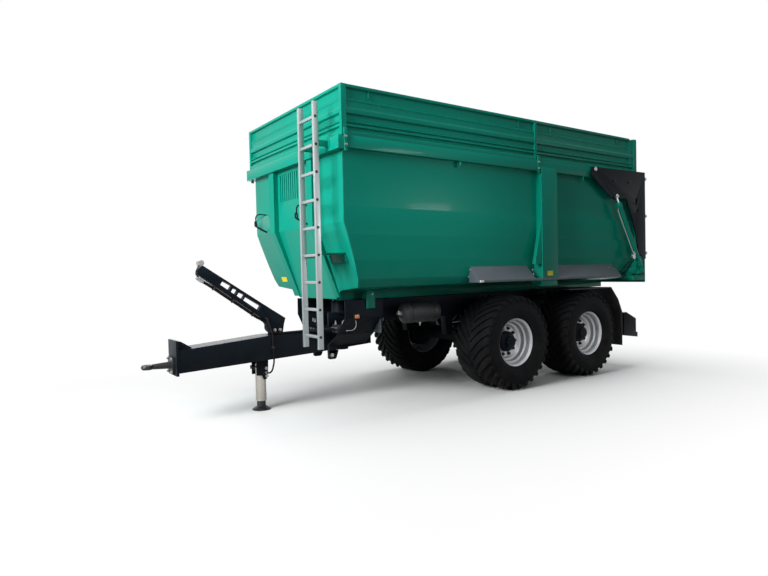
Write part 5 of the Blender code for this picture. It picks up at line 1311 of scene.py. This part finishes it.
bm = bmesh.new()
tank_turn = Matrix.Translation(at(0, TANK_Y, TANK_Z)) @ Matrix.Rotation(math.radians(-90), 4, "Z")
for x in STRAP_XS:
    join(bm, ring(x - STRAP_HALF, x + STRAP_HALF, TANK, TANK + STRAP_THICK, tank_turn))
show("tank_fittings", bars(TANK_FITTINGS), steel, CHASSIS)
show("tank_straps", bm, black, CHASSIS)

# %% Jack fittings
JACK = body_of["jack_tube"]
JACK_X, JACK_FACE, JACK_WALL = 3.645, 0.0745, 0.0575
JACK_PINS = ((3.604, 0.466), (3.60, 0.383))
# The welded ring at the tube's foot and the grease band above it: from, to, radius
JACK_RINGS = ((0.105, 0.117, 0.0615), (0.16, 0.168, 0.0605))
# The valve's lever and its knob on the jack's head: start, end, radius, number of sides
LEVER = (
    ((3.69, 0.03, 0.485), (3.765, 0.03, 0.492), 0.008, ROUND),
    ((3.765, 0.03, 0.475), (3.768, 0.03, 0.512), 0.011, ROUND),
    ((3.728, 0.03, 0.452), (3.732, 0.03, 0.49), 0.007, ROUND),
)

pins, rings = bmesh.new(), bmesh.new()
for x, z in JACK_PINS:
    for side, _ in SIDES:
        hexagon_nut(pins, at(x, side * JACK_FACE, z), OUT * side, 0.026, 0.013)
jack_turn = Matrix.Translation(at(JACK_X, 0, 0)) @ Matrix.Rotation(math.radians(90), 4, "X")
for low, high, radius in JACK_RINGS:
    join(rings, ring(low, high, JACK_WALL, radius, jack_turn))
show("jack_lever", bars(LEVER), black, JACK)
show("jack_bolts", pins, steel, CHASSIS)
show("jack_collars", rings, zinc, JACK)

# %% [markdown]
# ## Floor and world
#
# The picture was cut out on white, so floor and world are white to the eye and only softly bright
# to the surfaces: the light path tells the two apart. The floor keeps the shadow under the trailer
# and fades to white with its distance from the wheels and the jack.

# %% Floor
FLOOR_HALF = 60.0
# Half the length and width of what stands on the floor, and where the fade starts and ends
FOOTPRINT = (3.1, 1.1)
FADE = (0.1, 2.7)
WHITE, SHOWN, DIM = (1.0, 1.0, 1.0, 1.0), (0.9, 0.9, 0.9, 1.0), (0.12, 0.12, 0.12, 1.0)


def floor_material():
    finish = Finish("studio_floor", None, (0.82, 0.82, 0.82), 0.9)
    outside = []
    for axis, half in enumerate(FOOTPRINT):
        distance = finish.maths("ABSOLUTE", finish.part(finish.place, axis), 0.0)
        outside.append(finish.maths("MAXIMUM", distance - half, 0.0))
    reach = finish.maths("POWER", outside[0] * outside[0] + outside[1] * outside[1], 0.5)
    away = finish.maths("POWER", reach.clipped(*FADE), 0.6)
    seen = finish.in_view()
    dim = finish.node("ShaderNodeBsdfDiffuse", {}, {"Color": DIM})
    shown = finish.node("ShaderNodeBsdfDiffuse", {}, {"Color": SHOWN})
    glow = finish.node("ShaderNodeEmission", {}, {"Color": WHITE, "Strength": 1.0})
    near = finish.node("ShaderNodeMixShader", {}, {0: seen, 1: dim, 2: shown})
    faded = finish.node("ShaderNodeMixShader", {}, {0: away * seen, 1: near, 2: glow})
    finish.tree.nodes.remove(finish.shader)
    finish.put(finish.tree.nodes["Material Output"], "Surface", faded)
    return finish.material


bm = bmesh.new()
bmesh.ops.create_grid(bm, x_segments=1, y_segments=1, size=FLOOR_HALF)
floor_mesh = bpy.data.meshes.new("floor")
bm.to_mesh(floor_mesh)
bm.free()
floor_mesh.materials.append(floor_material())
floor = bpy.data.objects.new("floor", floor_mesh)
bpy.context.scene.collection.objects.link(floor)
print("floor", 2 * FLOOR_HALF, "m wide")

# %% World
SKY, SKY_STRENGTH = (0.86, 0.93, 1.0, 1.0), 0.08

world = bpy.data.worlds.new("studio")
bpy.context.scene.world = world
world.use_nodes = True
backdrop = Wiring(world.node_tree)
backdrop.tree.nodes.remove(backdrop.tree.nodes["Background"])
sky = backdrop.node("ShaderNodeBackground", {}, {"Color": SKY, "Strength": SKY_STRENGTH})
paper = backdrop.node("ShaderNodeBackground", {}, {"Color": WHITE})
mixed = backdrop.node("ShaderNodeMixShader", {}, {0: backdrop.in_view(), 1: sky, 2: paper})
backdrop.put(backdrop.tree.nodes["World Output"], "Surface", mixed)
print("world", world.name, "strength", SKY_STRENGTH)

# %% [markdown]
# ## Lamps
#
# Large square lamps give soft edges to every shadow. The key stands ahead of the trailer, where the
# front wall is brightest, and weaker ones to the left and overhead lift the side and the folds. Two
# more light the right side and the rear for the other views. A small softbox gives the left side
# the soft shine that the sky gives the real paint; a honeycomb keeps its beam to that place.

# %% Lamps
# Each lamp: name, place, size, power, what it points at, how wide its beam spreads in degrees
LAMPS = (
    ("key", (9.0, 1.5, 4.6), 4.0, 960.0, (1.8, 0.0, 2.0), 180.0),
    ("left", (3.0, 9.0, 7.5), 5.0, 140.0, (0.0, 0.0, 1.8), 180.0),
    ("softbox", (-2.26, 5.95, 2.4), 0.9, 3.4, (1.0, 1.1, 2.1), 40.0),
    ("overhead", (0.0, 0.0, 9.0), 7.0, 160.0, (0.0, 0.0, 1.5), 180.0),
    ("right", (-1.0, -11.0, 5.0), 6.0, 330.0, (0.0, 0.0, 1.6), 180.0),
    ("back", (-9.0, -3.0, 5.0), 6.0, 420.0, (-1.0, 0.0, 1.6), 180.0),
)
for name, spot, size, power, target, spread in LAMPS:
    light = bpy.data.lights.new(name, "AREA")
    light.shape = "SQUARE"
    light.size = size
    light.energy = power
    light.spread = math.radians(spread)
    lamp = bpy.data.objects.new(name, light)
    lamp.location = spot
    lamp.rotation_euler = (Vector(target) - Vector(spot)).to_track_quat("-Z", "Y").to_euler()
    bpy.context.scene.collection.objects.link(lamp)
print("lamps", len(LAMPS))

# %% [markdown]
# ## The camera
#
# The photograph was taken at eye height, six metres ahead of the tandem's middle and six to the
# left. Its place was worked out from the wheels and the straight edges of the trough. Yaw, pitch
# and roll are angles of the line of sight, and the focal length is in pixels of a picture 768 wide.

# %% Camera
CAMERA_AT = Vector((4.8595, 6.151, 1.507))
YAW, PITCH, ROLL = -2.182, -0.027, -0.023
FOCAL_PIXELS, PICTURE_WIDTH = 583.1, 768

sight = Vector((math.cos(YAW) * math.cos(PITCH), math.sin(YAW) * math.cos(PITCH), math.sin(PITCH)))
level = Vector((math.sin(YAW), -math.cos(YAW), 0.0))
upright = level.cross(sight)
across = level * math.cos(ROLL) + upright * math.sin(ROLL)
upward = upright * math.cos(ROLL) - level * math.sin(ROLL)
lens = bpy.data.cameras.new("camera")
lens.sensor_width = 36.0
lens.lens = FOCAL_PIXELS * lens.sensor_width / PICTURE_WIDTH
camera = bpy.data.objects.new("camera", lens)
turn = Matrix((across, upward, -sight)).transposed()
camera.matrix_world = Matrix.Translation(CAMERA_AT) @ turn.to_4x4()
bpy.context.scene.collection.objects.link(camera)
bpy.context.scene.camera = camera
bpy.context.scene.view_settings.view_transform = "Standard"
print("lens", round(lens.lens, 1), "mm")
